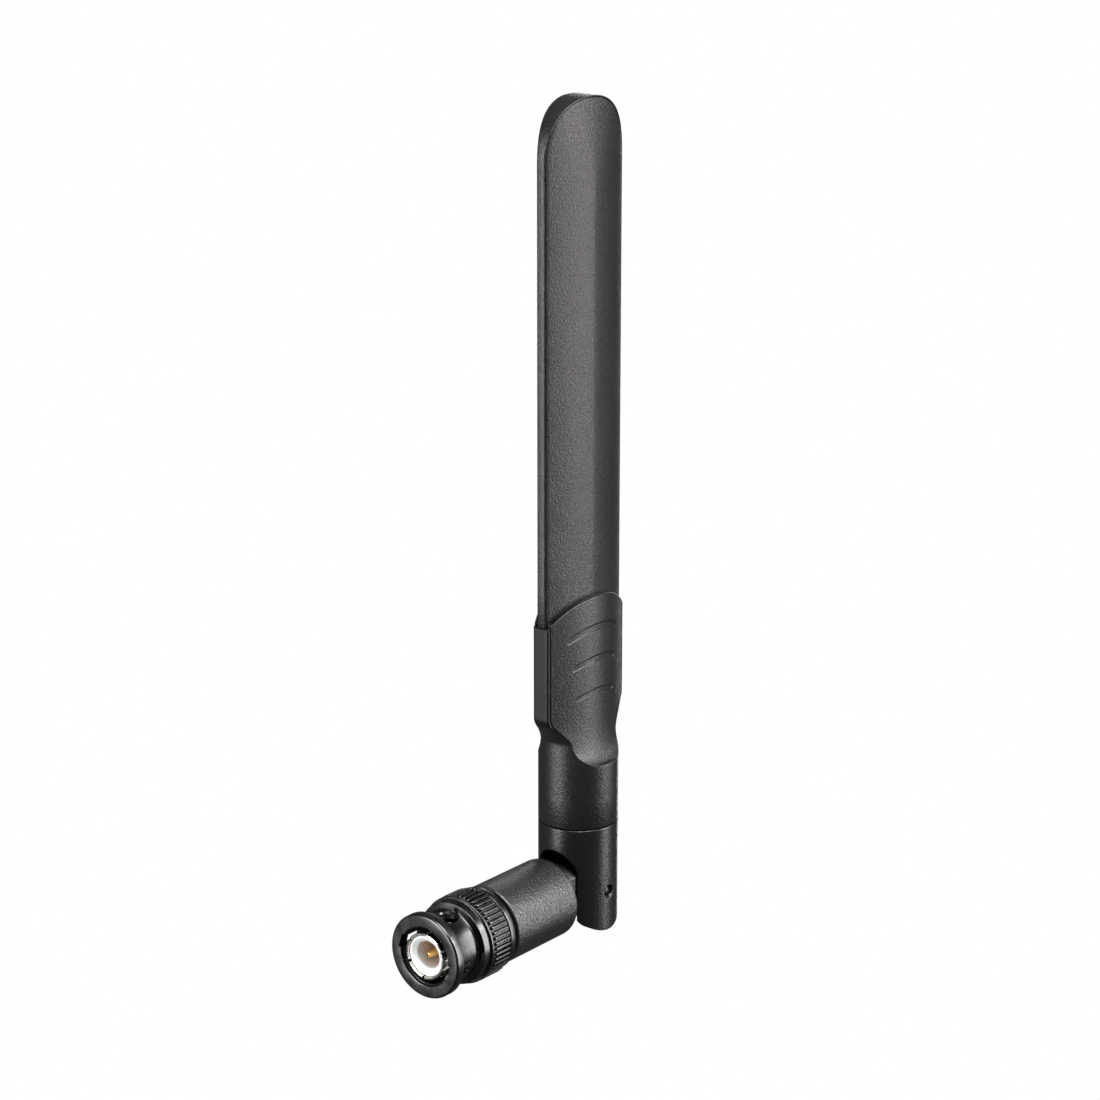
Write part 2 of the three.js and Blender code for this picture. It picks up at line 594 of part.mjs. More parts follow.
function gripSleeve() {
  const low = SEAM_Z + SEAM_GAP / 2;
  const outer = solid(gripLoft()).intersect(solid(alongX(gripCrown(low - 1), -9, 9, 12)));
  const play = 0.15;
  const pocket = paddleSection(BLADE.tang + play, play);
  const mouth = paddleSection(BLADE.half + GAP, play);
  const grooves = join(...GROOVES.map(fingerGroove)).subtract(groovesFloor());
  const bore = upright([
    [0, low - OUT], [PLUG_R + FIT, low - OUT], [PLUG_R + FIT, PLUG_TOP + GAP], [2.6, PLUG_TOP + GAP],
    [2.6, BLADE.foot], [0, BLADE.foot],
  ]);
  const hollows = [
    bore,
    alongZ(pocket, BLADE.foot - GAP, GRIP.crown + OUT),
    alongZ(mouth, SHOULDER - FIT, GRIP.crown + OUT),
  ];
  return surface(cut(outer, ...hollows.map(solid), grooves));
}

// ---- paddle -------------------------------------------------------------------------------------

const TALL = [BLADE.foot - OUT, BLADE.top + OUT];

// The paddle's outline drawn in by an inset, with the narrower tang that stands inside the grip.
function paddleOutline(inset) {
  const { half, top, foot, tang } = BLADE;
  const broad = alongX(archedStrip(half - inset, SHOULDER + inset, top - inset), -9, 9, 12);
  const stem = box([-9, 9], [PIVOT_Y - tang + inset, PIVOT_Y + tang - inset], [foot, SHOULDER + 1]);
  return join(solid(broad), solid(stem));
}

// The body of the paddle, whose ridges sink towards each other at the tip.
function wholePaddle() {
  const { lerp } = THREE.MathUtils;
  const knee = [lerp(BLADE.ridge, TIP.ridge, 0.4), lerp(TIP.from, BLADE.top, 0.6)];
  const rising = [[BLADE.ridge + 1, TALL[0]], [BLADE.ridge, TIP.from], knee, [TIP.ridge, TALL[1]]];
  const profile = polygon([...rising, ...rising.map(([x, z]) => [-x, z]).reverse()]);
  const wedge = solid(alongY(profile, PIVOT_Y - 12, PIVOT_Y + 12));
  return solid(alongZ(paddleSection(BLADE.half, 0), ...TALL)).intersect(paddleOutline(0)).intersect(wedge);
}

// Everything in front of the cover's underside, or of a surface that lies a little lower.
function beforeCover(lowered) {
  const reach = BLADE.half + 1;
  const across = [-1, -0.5, 0, 0.5, 1].map((share) => share * reach);
  const under = across.map((y) => [faceHeight(y) - WALL - lowered, y]);
  return solid(alongZ(polygon([...under, [9, reach], [9, -reach]]), ...TALL));
}

// The cover is a thin bowed panel that lies inside the tray's rim.
function bladeCover() {
  return surface(wholePaddle().intersect(paddleOutline(RIM + PARTING)).intersect(beforeCover(0)));
}

// The tray is the paddle's back and its side walls, with a ledge that the cover lies on.
function bladeTray() {
  const seat = paddleOutline(RIM).intersect(beforeCover(PARTING));
  const low = BLADE.foot - OUT;
  const hollow = solid(alongZ(paddleSection(BLADE.half - CAVITY, -WALL), ...TALL))
    .intersect(solid(alongX(archedStrip(BLADE.half - CAVITY, low, BLADE.top - CAVITY), -9, 9, 8)));
  const openFoot = box([-9, 9], [PIVOT_Y - 12, PIVOT_Y + 12], [low, BLADE.foot]);
  return surface(cut(wholePaddle(), seat, hollow, solid(openFoot)));
}

const antennaBoard = () =>
  alongX(archedStrip(BOARD.half, BOARD.low, BOARD.top), -BOARD.thick / 2, BOARD.thick / 2, 8);

const FOIL = [0.38, 0.48];
const foil = (y, z) => box(FOIL, [PIVOT_Y + y[0], PIVOT_Y + y[1]], z);
const radiatorUpper = () => foil([-3.5, 3.5], [FEED_Z + 0.6, 126]);
const radiatorLower = (side) => foil(side > 0 ? [2, 5.6] : [-5.6, -2], [52, FEED_Z - 2]);

function solderDrop(y, z) {
  const drop = new THREE.SphereGeometry(1, 8, 6).scale(0.38, 0.9, 0.8);
  return drop.translate(FOIL[1] + 0.48, PIVOT_Y + y, z);
}

const foamStrip = () => box([-1.1, -0.42], [PIVOT_Y - 3.5, PIVOT_Y + 3.5], [46, 124]);

// ---- cable --------------------------------------------------------------------------------------

// From the plug's solder cup through the barrel and over the hinge to the middle of the board.
const CABLE_ROUTE = [
  [0, 13.5, 0], [0, 20, 0], [0, 27, 0], [0, 33, 0], [0, PIVOT_Y - CABLE_BEND, 0],
  [0, PIVOT_Y - CABLE_BEND * 0.617, CABLE_BEND * 0.076],
  [0, PIVOT_Y - CABLE_BEND * 0.293, CABLE_BEND * 0.293],
  [0, PIVOT_Y - CABLE_BEND * 0.076, CABLE_BEND * 0.617], [0, PIVOT_Y, CABLE_BEND],
  [0, PIVOT_Y, 10], [0, PIVOT_Y, 18], [0, PIVOT_Y, 26], [0, PIVOT_Y, 31.5], [CABLE_X * 0.5, PIVOT_Y, 35.5],
  [CABLE_X, PIVOT_Y, 39.5], [CABLE_X, PIVOT_Y, 46], [CABLE_X, PIVOT_Y, 60], [CABLE_X, PIVOT_Y, 75],
  [CABLE_X, PIVOT_Y, FEED_Z - 1],
];

function coaxCable() {
  const section = new THREE.Shape();
  section.absarc(0, 0, CABLE_R, 0, TURN, false);
  const points = CABLE_ROUTE.map((p) => new THREE.Vector3(...p));
  const route = new THREE.CatmullRomCurve3(points, false, 'centripetal');
  const jacket = new THREE.ExtrudeGeometry(section, {
    steps: 46, extrudePath: route, curveSegments: 4, bevelEnabled: false,
  });
  const conductor = turned(rod(0.25, PIN.end - CUP_REACH, 14.2), 8);
  return surface(join(solid(jacket), solid(conductor)));
}

const shrinkSleeve = () => upright(tube(CABLE_R + FIT, CABLE_R + 0.5, 20, 30), SMALL);

// ---- assembly -----------------------------------------------------------------------------------

const PIECES = [
  ['connector_body', connectorBody(), 'black_metal'],
  ['outer_contact', outerContact(), 'contact'],
  ['insulator', insulator(), 'ptfe'],
  ['center_pin', centerPin(), 'gold'],
  ['sealing_gasket', sealingGasket(), 'rubber'],
  ['crimp_ferrule', crimpFerrule(), 'steel'],
  ['swivel_o_ring', swivelRing(), 'rubber'],
  ['swivel_clip', swivelClip(), 'steel'],
  ['wave_washer', waveWasher(), 'steel'],
  ['thrust_washer', thrustWasher(), 'steel'],
  ['coupling_nut', couplingNut(), 'black_metal'],
  ['nut_retaining_ring', nutRetainingRing(), 'steel'],
  ['swivel_barrel', swivelBarrel(), 'knuckle'],
  ['friction_washer_left', frictionWasher(-1), 'steel'],
  ['friction_washer_right', frictionWasher(1), 'steel'],
  ['pivot_pin_left', pivotPin(-1), 'steel'],
  ['pivot_pin_right', pivotPin(1), 'steel'],
  ['hinge_fork', hingeFork(), 'knuckle'],
  ['grip_sleeve', gripSleeve(), 'shell'],
  ['blade_cover', bladeCover(), 'shell'],
  ['blade_tray', bladeTray(), 'shell'],
  ['antenna_board', antennaBoard(), 'board'],
  ['radiator_upper', radiatorUpper(), 'copper'],
  ['radiator_lower_left', radiatorLower(-1), 'copper'],
  ['radiator_lower_right', radiatorLower(1), 'copper'],
  ['center_solder', solderDrop(0, FEED_Z + 1.6), 'solder'],
  ['braid_solder', solderDrop(1.85, FEED_Z - 4), 'solder'],
  ['foam_strip', foamStrip(), 'foam'],
  ['coax_cable', coaxCable(), 'jacket'],
  ['shrink_sleeve', shrinkSleeve(), 'rubber'],
];

const group = new THREE.Group();
for (const [name, geometry, slot] of PIECES) {
  const mesh = new THREE.Mesh(geometry, MATERIALS[slot].clone());
  mesh.name = name;
  group.add(mesh);
}

export default group;
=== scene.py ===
import json
import math

import bmesh
import bpy
import numpy as np
from mathutils import Matrix, Vector


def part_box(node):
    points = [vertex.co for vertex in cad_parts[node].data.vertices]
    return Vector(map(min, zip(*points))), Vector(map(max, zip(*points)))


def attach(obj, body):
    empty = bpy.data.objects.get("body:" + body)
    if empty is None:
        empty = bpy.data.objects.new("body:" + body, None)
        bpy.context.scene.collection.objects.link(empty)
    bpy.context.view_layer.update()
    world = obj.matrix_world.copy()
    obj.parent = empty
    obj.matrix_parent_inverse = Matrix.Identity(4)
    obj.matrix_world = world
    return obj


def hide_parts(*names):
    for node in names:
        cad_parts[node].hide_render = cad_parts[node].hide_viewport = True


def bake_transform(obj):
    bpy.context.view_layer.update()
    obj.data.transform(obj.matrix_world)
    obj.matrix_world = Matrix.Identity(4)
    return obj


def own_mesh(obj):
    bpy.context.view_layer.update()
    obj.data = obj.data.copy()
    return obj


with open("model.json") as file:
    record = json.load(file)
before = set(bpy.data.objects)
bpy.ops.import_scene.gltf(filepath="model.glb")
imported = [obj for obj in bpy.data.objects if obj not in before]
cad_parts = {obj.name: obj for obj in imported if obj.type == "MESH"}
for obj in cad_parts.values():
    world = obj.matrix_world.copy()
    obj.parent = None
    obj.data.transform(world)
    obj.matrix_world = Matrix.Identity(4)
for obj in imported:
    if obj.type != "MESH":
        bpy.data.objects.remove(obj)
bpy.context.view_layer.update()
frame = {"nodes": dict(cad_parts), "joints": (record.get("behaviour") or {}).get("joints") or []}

# Lengths are in millimetres, in the CAD frame, and become metres where a mesh is made.
MM = 0.001


def extent(node):
    """Lowest and highest corner of a CAD node, in millimetres."""
    low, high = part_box(node)
    return low / MM, high / MM


def joint(name):
    return next(j for j in frame["joints"] if j["name"] == name)


# ---- places and sizes ---------------------------------------------------------------------------

PIVOT_Y = joint("tilt")["pos_m"][1] / MM
FORK_LOW, FORK_HIGH = extent("hinge_fork")
BARREL_LOW, BARREL_HIGH = extent("swivel_barrel")
GRIP_LOW, GRIP_HIGH = extent("grip_sleeve")
TRAY_LOW, TRAY_HIGH = extent("blade_tray")
NUT_HIGH = extent("coupling_nut")[1]
CONTACT_HIGH = extent("outer_contact")[1]
PIN_LOW, PIN_HIGH = extent("center_pin")

NECK_R = 7.08
CHEEK_R = -FORK_LOW.z
SLOT_HALF = 4.2
SLOT_ARCH_Z = 3.9
BALL_R = 5.4
TONGUE_HALF = 4.0
SEAM_Z = GRIP_LOW.z
SPIGOT_R = 5.4

BARREL_R = BARREL_HIGH.x
BARREL_FRONT = BARREL_LOW.y
BARREL_BACK = 32.8
CABLE_R = 0.69

BLADE_HALF = TRAY_HIGH.y - PIVOT_Y
BLADE_RIDGE = -TRAY_LOW.x
BLADE_EDGE = 0.78
BLADE_TOP = TRAY_HIGH.z
BLADE_FOOT = TRAY_LOW.z
TANG_HALF = 8.9
TIP_FROM = 124.0
TIP_RIDGE = 2.35
TIP_FULLNESS = 0.91  # 1 is a half round tip, and less is fuller at its shoulders
BOW = 0.6  # how far the paddle's facets are bowed, from flat to a parabola
CREST = 0.5  # how softly the ridge is rounded
TIP_CREST = 2.4  # how much more softly it is at the tip
WALL = 1.1
RIM = 0.2  # width of the tray's rim
PARTING = 0.13  # gap between the rim and the cover
CAVITY = 2.3

GRIP_HALF = GRIP_HIGH.y - PIVOT_Y
GRIP_EDGE = (1.87, 9.8)  # the corner of a pad, as half a thickness and half a width
GRIP_BAND = 1.67  # half the thickness of the narrow sides
GRIP_CORNER_Z = 50.05
GRIP_CROWN_Z = GRIP_HIGH.z
FLARE = (28.0, 33.6)  # the neck widens into the grip between these heights
PAD_DEEP = 4.4
PAD_RIDGE = 7.0  # how softly a pad is crowned
GRIP_FULL_Z = 34.0  # from here up, only the finger grooves change the grip's section
SCOOP_Z = 24.2
SCOOP_DEEP = 6.35
SCOOP_FALL = 1.7  # height in which its swell over the pad falls to about a third
SCOOP_RIDGE = 16.0  # how softly a scoop is crowned
SCOOP_SHARE = 0.5  # the scoop's edge over the neck's radius, once it has widened
SCOOP_WIDE_Z = 28.5
SCOOP_CROWNED_Z = 31.0
GROOVES = ((48.15, 6.2, 1.3), (42.55, 5.2, 1.15), (36.75, 4.7, 0.95))  # height, half length, width
GROOVE_SAG = 0.036
GROOVE_DEEP = 0.2


# ---- meshes -------------------------------------------------------------------------------------


def raw_object(name, points, faces):
    """A closed mesh object from points in millimetres, with its faces turned outwards."""
    same_place, no_length = 2e-7, 1e-8
    mesh = bpy.data.meshes.new(name)
    mesh.from_pydata((np.asarray(points, float) * MM).tolist(), [], faces)
    bm = bmesh.new()
    bm.from_mesh(mesh)
    bmesh.ops.remove_doubles(bm, verts=bm.verts, dist=same_place)
    bmesh.ops.dissolve_degenerate(bm, edges=bm.edges, dist=no_length)
    bmesh.ops.recalc_face_normals(bm, faces=bm.faces)
    bm.to_mesh(mesh)
    bm.free()
    obj = bpy.data.objects.new(name, mesh)
    bpy.context.scene.collection.objects.link(obj)
    return obj


BOTH_ENDS = (0, -1)


def skin(name, rings, closed=False, caps=()):
    """A mesh over rings of points, an array of rings by points by 3. Each ring closes on itself.
    The rings form a loop if closed; otherwise caps names the rings that are filled in."""
    rings = np.asarray(rings, float)
    count, around = rings.shape[:2]
    faces = []
    for k in range(count if closed else count - 1):
        a, b = k * around, (k + 1) % count * around
        for i in range(around):
            j = (i + 1) % around
            faces.append((a + i, a + j, b + j, b + i))
    for end in caps:
        start = end % count * around
        faces.append(tuple(range(start, start + around)))
    return raw_object(name, rings.reshape(-1, 3), faces)


def rounded(corners, steps=6):
    """An outline whose corners (u, v, radius) are arcs. A corner without a radius stays sharp."""
    points = [np.array(c[:2], float) for c in corners]
    outline = []
    for i, corner in enumerate(corners):
        radius = corner[2] if len(corner) > 2 else 0
        here, before, after = points[i], points[i - 1], points[(i + 1) % len(points)]
        if radius == 0:
            outline.append(here)
            continue
        back, ahead = before - here, after - here
        back_length, ahead_length = np.linalg.norm(back), np.linalg.norm(ahead)
        back, ahead = back / back_length, ahead / ahead_length
        between = math.acos(max(-1.0, min(1.0, float(back @ ahead))))
        reach = min(radius / math.tan(between / 2), 0.49 * back_length, 0.49 * ahead_length)
        start, end = here + back * reach, here + ahead * reach
        weight = math.sin(between / 2)
        for step in range(steps + 1):
            s = step / steps
            parts = ((1 - s) ** 2, 2 * s * (1 - s) * weight, s**2)
            outline.append((parts[0] * start + parts[1] * here + parts[2] * end) / sum(parts))
    return [tuple(p) for p in outline]


def lathe(name, outline, sides=128, relief=None):
    """Turned about the plug's axis. The outline is points of (radius, y); it either starts and
    ends on the axis or closes on itself. relief gives a height to add at (radius, y, angle)."""
    radius = np.array([p[0] for p in outline], float)[:, None]
    along = np.array([p[1] for p in outline], float)[:, None]
    angle = np.linspace(0, 2 * math.pi, sides, endpoint=False)[None, :]
    full = radius + (relief(radius, along, angle) if relief else 0 * angle)
    rings = np.stack([full * np.cos(angle), along + 0 * angle, full * np.sin(angle)], axis=-1)
    on_axis = outline[0][0] == 0 and outline[-1][0] == 0
    return skin(name, rings, closed=not on_axis)


def stood(obj, matrix):
    obj.data.transform(matrix)
    return obj


def upright(obj):
    """From turned about the plug's axis to turned about the paddle's axis: y becomes z."""
    turn = Matrix(((1, 0, 0, 0), (0, 0, -1, PIVOT_Y * MM), (0, 1, 0, 0), (0, 0, 0, 1)))
    return stood(obj, turn)


def crosswise(obj, side=1):
    """From turned about the plug's axis to turned about the hinge pin: y becomes x."""
    turn = Matrix(((0, side, 0, 0), (-side, 0, 0, PIVOT_Y * MM), (0, 0, 1, 0), (0, 0, 0, 1)))
    return stood(obj, turn)


def prism(outline, axis, start, end):
    """An outline carried along an axis. It lies in the other two axes, in their order x, y, z."""
    others = [i for i in range(3) if i != axis]
    rings = np.zeros((2, len(outline), 3))
    for k, place in enumerate((start, end)):
        rings[k, :, axis] = place
        rings[k][:, others] = np.array(outline, float)
    return skin("tool", rings, caps=BOTH_ENDS)


def block(x, y, z):
    outline = [(y[0], z[0]), (y[1], z[0]), (y[1], z[1]), (y[0], z[1])]
    return prism(outline, 0, *x)


def rod(radius, start, end, sides=64):
    return lathe("tool", [(0, start), (radius, start), (radius, end), (0, end)], sides)


def turned_about_plug(obj, degrees):
    """Turns a tool that stands on +X towards +Z, about the plug's axis."""
    return stood(obj, Matrix.Rotation(-math.radians(degrees), 4, "Y"))


def settle(obj):
    """Replaces the object's mesh by what its modifiers make of it."""
    bpy.context.view_layer.update()
    mesh = bpy.data.meshes.new_from_object(
        obj.evaluated_get(bpy.context.evaluated_depsgraph_get())
    )
    obj.modifiers.clear()
    old = obj.data
    obj.data = mesh
    bpy.data.meshes.remove(old)
    return obj


def combine(obj, operation, *tools):
    for tool in tools:
        modifier = obj.modifiers.new("combine", "BOOLEAN")
        modifier.object = tool
        modifier.operation = operation
        modifier.solver = "EXACT"
    settle(obj)
    for tool in tools:
        bpy.data.meshes.remove(tool.data)
    return obj


def cut(obj, *tools):
    return combine(obj, "DIFFERENCE", *tools)


def melt(obj, voxel, smoothing):
    """Evens out the mesh and rounds its edges, as moulding does."""
    remesh = obj.modifiers.new("even", "REMESH")
    remesh.mode = "VOXEL"
    remesh.voxel_size = voxel * MM
    smooth = obj.modifiers.new("round", "SMOOTH")
    smooth.factor = 0.5
    smooth.iterations = smoothing
    return settle(obj)


def arc(radius, start, end, steps, centre=(0.0, 0.0)):
    """Points on an arc, with its angles in degrees from the first axis."""
    angles = np.radians(np.linspace(start, end, steps + 1))
    return [(centre[0] + radius * math.cos(a), centre[1] + radius * math.sin(a)) for a in angles]


def smoothstep(value, low, high):
    share = np.clip((np.asarray(value, float) - low) / (high - low), 0, 1)
    return share * share * (3 - 2 * share)


def mix(a, b, share):
    return a + (b - a) * share


def present(obj, name, body, materials, nodes, crease=35):
    """Names a finished piece, shades it, and hands it to the frame in place of its CAD nodes."""
    obj.name = name
    mesh = obj.data
    mesh.name = name
    mesh.materials.clear()
    for material in materials:
        mesh.materials.append(material)
    mesh.polygons.foreach_set("use_smooth", [True] * len(mesh.polygons))
    mesh.set_sharp_from_angle(angle=math.radians(crease))
    if isinstance(body, str):
        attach(obj, body)
    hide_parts(*nodes)
    return obj


# ---- materials ----------------------------------------------------------------------------------


class Surface:
    """A material under construction: its shader, its nodes and shared texture coordinates."""

    def __init__(self, name, metallic=0.0, **sockets):
        self.material = bpy.data.materials.new(name)
        self.material.use_nodes = True
        self.tree = self.material.node_tree
        self.shader = self.tree.nodes["Principled BSDF"]
        self.shader.inputs["Metallic"].default_value = metallic
        for socket, value in sockets.items():
            self.shader.inputs[socket.replace("_", " ")].default_value = value
        self.place = self.tree.nodes.new("ShaderNodeTexCoord").outputs["Object"]

    def node(self, kind, inputs=(), **settings):
        made = self.tree.nodes.new(kind)
        for key, value in settings.items():
            setattr(made, key, value)
        for key, value in dict(inputs).items():
            if isinstance(value, bpy.types.NodeSocket):
                self.tree.links.new(value, made.inputs[key])
            else:
                made.inputs[key].default_value = value
        return made

    def noise(self, grain, stretch=(1, 1, 1), detail=2.0, roughness=0.5):
        """Noise whose grains are about that many millimetres across."""
        scaled = self.node(
            "ShaderNodeMapping", {"Vector": self.place, "Scale": tuple(1 / s for s in stretch)}
        )
        inputs = {
            "Vector": scaled.outputs["Vector"],
            "Scale": 1 / (grain * MM),
            "Detail": detail,
            "Roughness": roughness,
        }
        return self.node("ShaderNodeTexNoise", inputs).outputs["Fac"]

    def ramp(self, value, stops):
        """A colour ramp with stops of (place, colour)."""
        made = self.node("ShaderNodeValToRGB", {"Fac": value})
        elements = made.color_ramp.elements
        while len(elements) < len(stops):
            elements.new(0.5)
        for element, (place, colour) in zip(elements, stops):
            element.position = place
            element.color = (*colour, 1)
        return made.outputs["Color"]

    def spread(self, value, low, high, start=0.3, end=0.7):
        """The value from start to end, carried over to low to high."""
        inputs = {"Value": value, "From Min": start, "From Max": end, "To Min": low, "To Max": high}
        return self.node("ShaderNodeMapRange", inputs).outputs["Result"]

    def blended(self, first, second, share):
        made = self.node("ShaderNodeMix", data_type="RGBA")
        colours = [s for s in made.inputs if s.type == "RGBA"]
        for socket, value in zip(colours, (first, second)):
            self.tree.links.new(value, socket)
        self.tree.links.new(share, made.inputs[0])
        return next(s for s in made.outputs if s.type == "RGBA")

    def bump(self, height, depth, under=None):
        """Relief of that many millimetres, over another relief if there is one."""
        inputs = {"Height": height, "Distance": depth * MM, "Strength": 1.0}
        if under is not None:
            inputs["Normal"] = under
        return self.node("ShaderNodeBump", inputs).outputs["Normal"]

    def to(self, socket, value):
        self.tree.links.new(value, self.shader.inputs[socket])


def moulded_plastic(name, dark, light, grain, gloss, relief, sparkle=0.0, **sockets):
    """Moulded plastic with a spark-eroded texture: fine grains with a painted highlight on their tops."""
    s = Surface(name, **sockets)
    fine = s.noise(grain, detail=3.0, roughness=0.6)
    broad = s.noise(grain * 22, detail=2.0)
    middle = tuple(mix(a, b, 0.45) for a, b in zip(dark, light))
    darker = tuple(c * 0.86 for c in dark)
    lighter = tuple(c * 1.1 for c in light)
    # The grains are painted lighter where the same noise raises them: a painted highlight on the grain
    # tops.
    grains = s.ramp(fine, [(0.36, dark), (0.52, middle), (0.68, light)])
    # Broad patches, lighter where the broad relief rises and darker where it sinks.
    broad_patches = s.ramp(broad, [(0.3, darker), (0.7, lighter)])
    s.to("Base Color", s.blended(grains, broad_patches, s.spread(broad, 0.12, 0.3)))
    s.to("Roughness", s.spread(fine, gloss[1], gloss[0]))
    under = s.bump(broad, relief * 0.9)
    normal = s.bump(fine, relief, under)
    if sparkle:
        normal = s.bump(s.noise(grain * 0.45, detail=1.0), sparkle, normal)
    s.to("Normal", normal)
    return s.material


def turned_metal(name, dark, light, gloss, relief=0.002, stretch=(1, 0.06, 1)):
    """Plated metal with the faint rings of turning, and small stains."""
    s = Surface(name, metallic=1.0)
    rings = s.noise(1.6, stretch=stretch, detail=4.0)
    stains = s.noise(2.4, detail=3.0)
    s.to("Base Color", s.ramp(stains, [(0.3, dark), (0.7, light)]))
    s.to("Roughness", s.spread(stains, *gloss))
    s.to("Normal", s.bump(rings, relief))
    return s.material


def smooth_solid(name, dark, light, gloss, grain=0.8, relief=0.004, **sockets):
    """A plain material with slight unevenness of colour, gloss and surface."""
    s = Surface(name, **sockets)
    fine = s.noise(grain, detail=3.0)
    s.to("Base Color", s.ramp(fine, [(0.3, dark), (0.7, light)]))
    s.to("Roughness", s.spread(fine, *gloss))
    s.to("Normal", s.bump(fine, relief))
    return s.material


def fluoropolymer():
    """White at the mouth, with painted shade and a painted warm reflection of the gold pin deeper down in
    the socket.
    """
    s = Surface("fluoropolymer", Subsurface_Weight=0.25, Subsurface_Scale=0.0006)
    depth = s.node("ShaderNodeSeparateXYZ", {"Vector": s.place}).outputs["Y"]
    share = s.spread(depth, 0.0, 1.0, 1.2 * MM, 4.6 * MM)
    # Painted shade and a painted gold reflection, growing with depth into the socket.
    socket_shade = s.ramp(share, [(0.0, (0.9, 0.9, 0.9)), (0.45, (0.74, 0.66, 0.6)), (1.0, (0.5, 0.4, 0.34))])
    mottle = s.noise(0.7, detail=3.0)
    pale = s.ramp(mottle, [(0.3, (0.82, 0.8, 0.79)), (0.7, (0.92, 0.91, 0.9))])
    s.to("Base Color", s.blended(socket_shade, pale, s.spread(mottle, 0.05, 0.2)))
    s.to("Roughness", s.spread(mottle, 0.35, 0.5))
    s.to("Normal", s.bump(mottle, 0.006))
    return s.material


def circuit_board():
    """Solder mask over a faint weave."""
    s = Surface("circuit_board", Coat_Weight=0.3, Coat_Roughness=0.2)
    across = s.noise(0.5, stretch=(1, 8, 1))
    along = s.noise(0.5, stretch=(1, 1, 8))
    weave = s.node("ShaderNodeMath", {0: across, 1: along}, operation="MULTIPLY").outputs[0]
    s.to("Base Color", s.ramp(weave, [(0.12, (0.012, 0.06, 0.02)), (0.42, (0.03, 0.13, 0.05))]))
    s.to("Roughness", s.spread(weave, 0.3, 0.5, 0.1, 0.45))
    s.to("Normal", s.bump(weave, 0.01))
    return s.material


def open_foam():
    s = Surface("open_foam")
    cells = s.node("ShaderNodeTexVoronoi", {"Vector": s.place, "Scale": 1 / (0.6 * MM)})
    distance = cells.outputs["Distance"]
    # The cells are painted dark at their middles, where the relief is lowest: painted shade in the hollows.
    s.to("Base Color", s.ramp(distance, [(0.0, (0.03, 0.03, 0.03)), (0.6, (0.2, 0.2, 0.21))]))
    s.to("Roughness", s.spread(distance, 0.8, 0.98, 0.0, 0.8))
    s.to("Normal", s.bump(distance, 0.08))
    return s.material


PADDLE = moulded_plastic(
    "paddle_plastic", (0.004, 0.0037, 0.0039), (0.015, 0.0138, 0.0145), grain=0.34, gloss=(0.26, 0.4),
    relief=0.085, sparkle=0.04, Specular_Tint=(1, 0.945, 0.985, 1),
)
PAD_SKIN = moulded_plastic(
    "grip_plastic", (0.004, 0.0038, 0.0038), (0.015, 0.014, 0.0143), grain=0.34, gloss=(0.26, 0.4),
    relief=0.07, sparkle=0.034,
)
BAND_SKIN = moulded_plastic(
    "grip_band_plastic", (0.003, 0.003, 0.003), (0.01, 0.0097, 0.0097), grain=0.3, gloss=(0.32, 0.44),
    relief=0.02, Specular_IOR_Level=0.25,
)
FORK_SKIN = moulded_plastic(
    "fork_plastic", (0.003, 0.003, 0.003), (0.01, 0.0096, 0.0096), grain=0.34, gloss=(0.25, 0.36),
    relief=0.04, sparkle=0.016,
)
BARREL_SKIN = moulded_plastic(
    "barrel_plastic", (0.003, 0.003, 0.003), (0.013, 0.0125, 0.0125), grain=0.48, gloss=(0.27, 0.4),
    relief=0.11, sparkle=0.06, Specular_IOR_Level=0.8,
)
BLACK_METAL = turned_metal("black_nickel", (0.055, 0.055, 0.057), (0.09, 0.089, 0.092), (0.24, 0.34))
DARK_STEEL = turned_metal("blackened_steel", (0.03, 0.03, 0.031), (0.06, 0.06, 0.06), (0.28, 0.4))
SILVER = turned_metal("silver_plate", (0.62, 0.6, 0.56), (0.84, 0.82, 0.77), (0.14, 0.26))
GOLD = turned_metal("gold_plate", (0.72, 0.43, 0.12), (0.93, 0.62, 0.24), (0.14, 0.24))
STEEL = turned_metal("spring_steel", (0.38, 0.38, 0.39), (0.56, 0.56, 0.57), (0.2, 0.36))
COPPER = turned_metal("copper_foil", (0.55, 0.22, 0.1), (0.8, 0.36, 0.18), (0.2, 0.36))
SOLDER = smooth_solid("solder", (0.5, 0.51, 0.52), (0.72, 0.73, 0.74), (0.16, 0.4), Metallic=1.0)
RUBBER = smooth_solid("rubber", (0.01, 0.01, 0.01), (0.026, 0.026, 0.026), (0.6, 0.8), 0.4, 0.01)
JACKET = smooth_solid("cable_jacket", (0.05, 0.024, 0.012), (0.1, 0.05, 0.024), (0.25, 0.4))
PTFE = fluoropolymer()
BOARD = circuit_board()
FOAM = open_foam()

KEPT_NODES = {
    "crimp_ferrule": STEEL, "swivel_o_ring": RUBBER, "swivel_clip": STEEL, "thrust_washer": STEEL,
    "nut_retaining_ring": STEEL, "friction_washer_left": STEEL, "friction_washer_right": STEEL,
    "antenna_board": BOARD, "radiator_upper": COPPER, "radiator_lower_left": COPPER,
    "radiator_lower_right": COPPER, "center_solder": SOLDER, "braid_solder": SOLDER,
    "foam_strip": FOAM, "shrink_sleeve": RUBBER,
}


def finish_kept_nodes():
    for node, material in KEPT_NODES.items():
        mesh = frame["nodes"][node].data
        mesh.materials.clear()
        mesh.materials.append(material)


# ---- plug ---------------------------------------------------------------------------------------

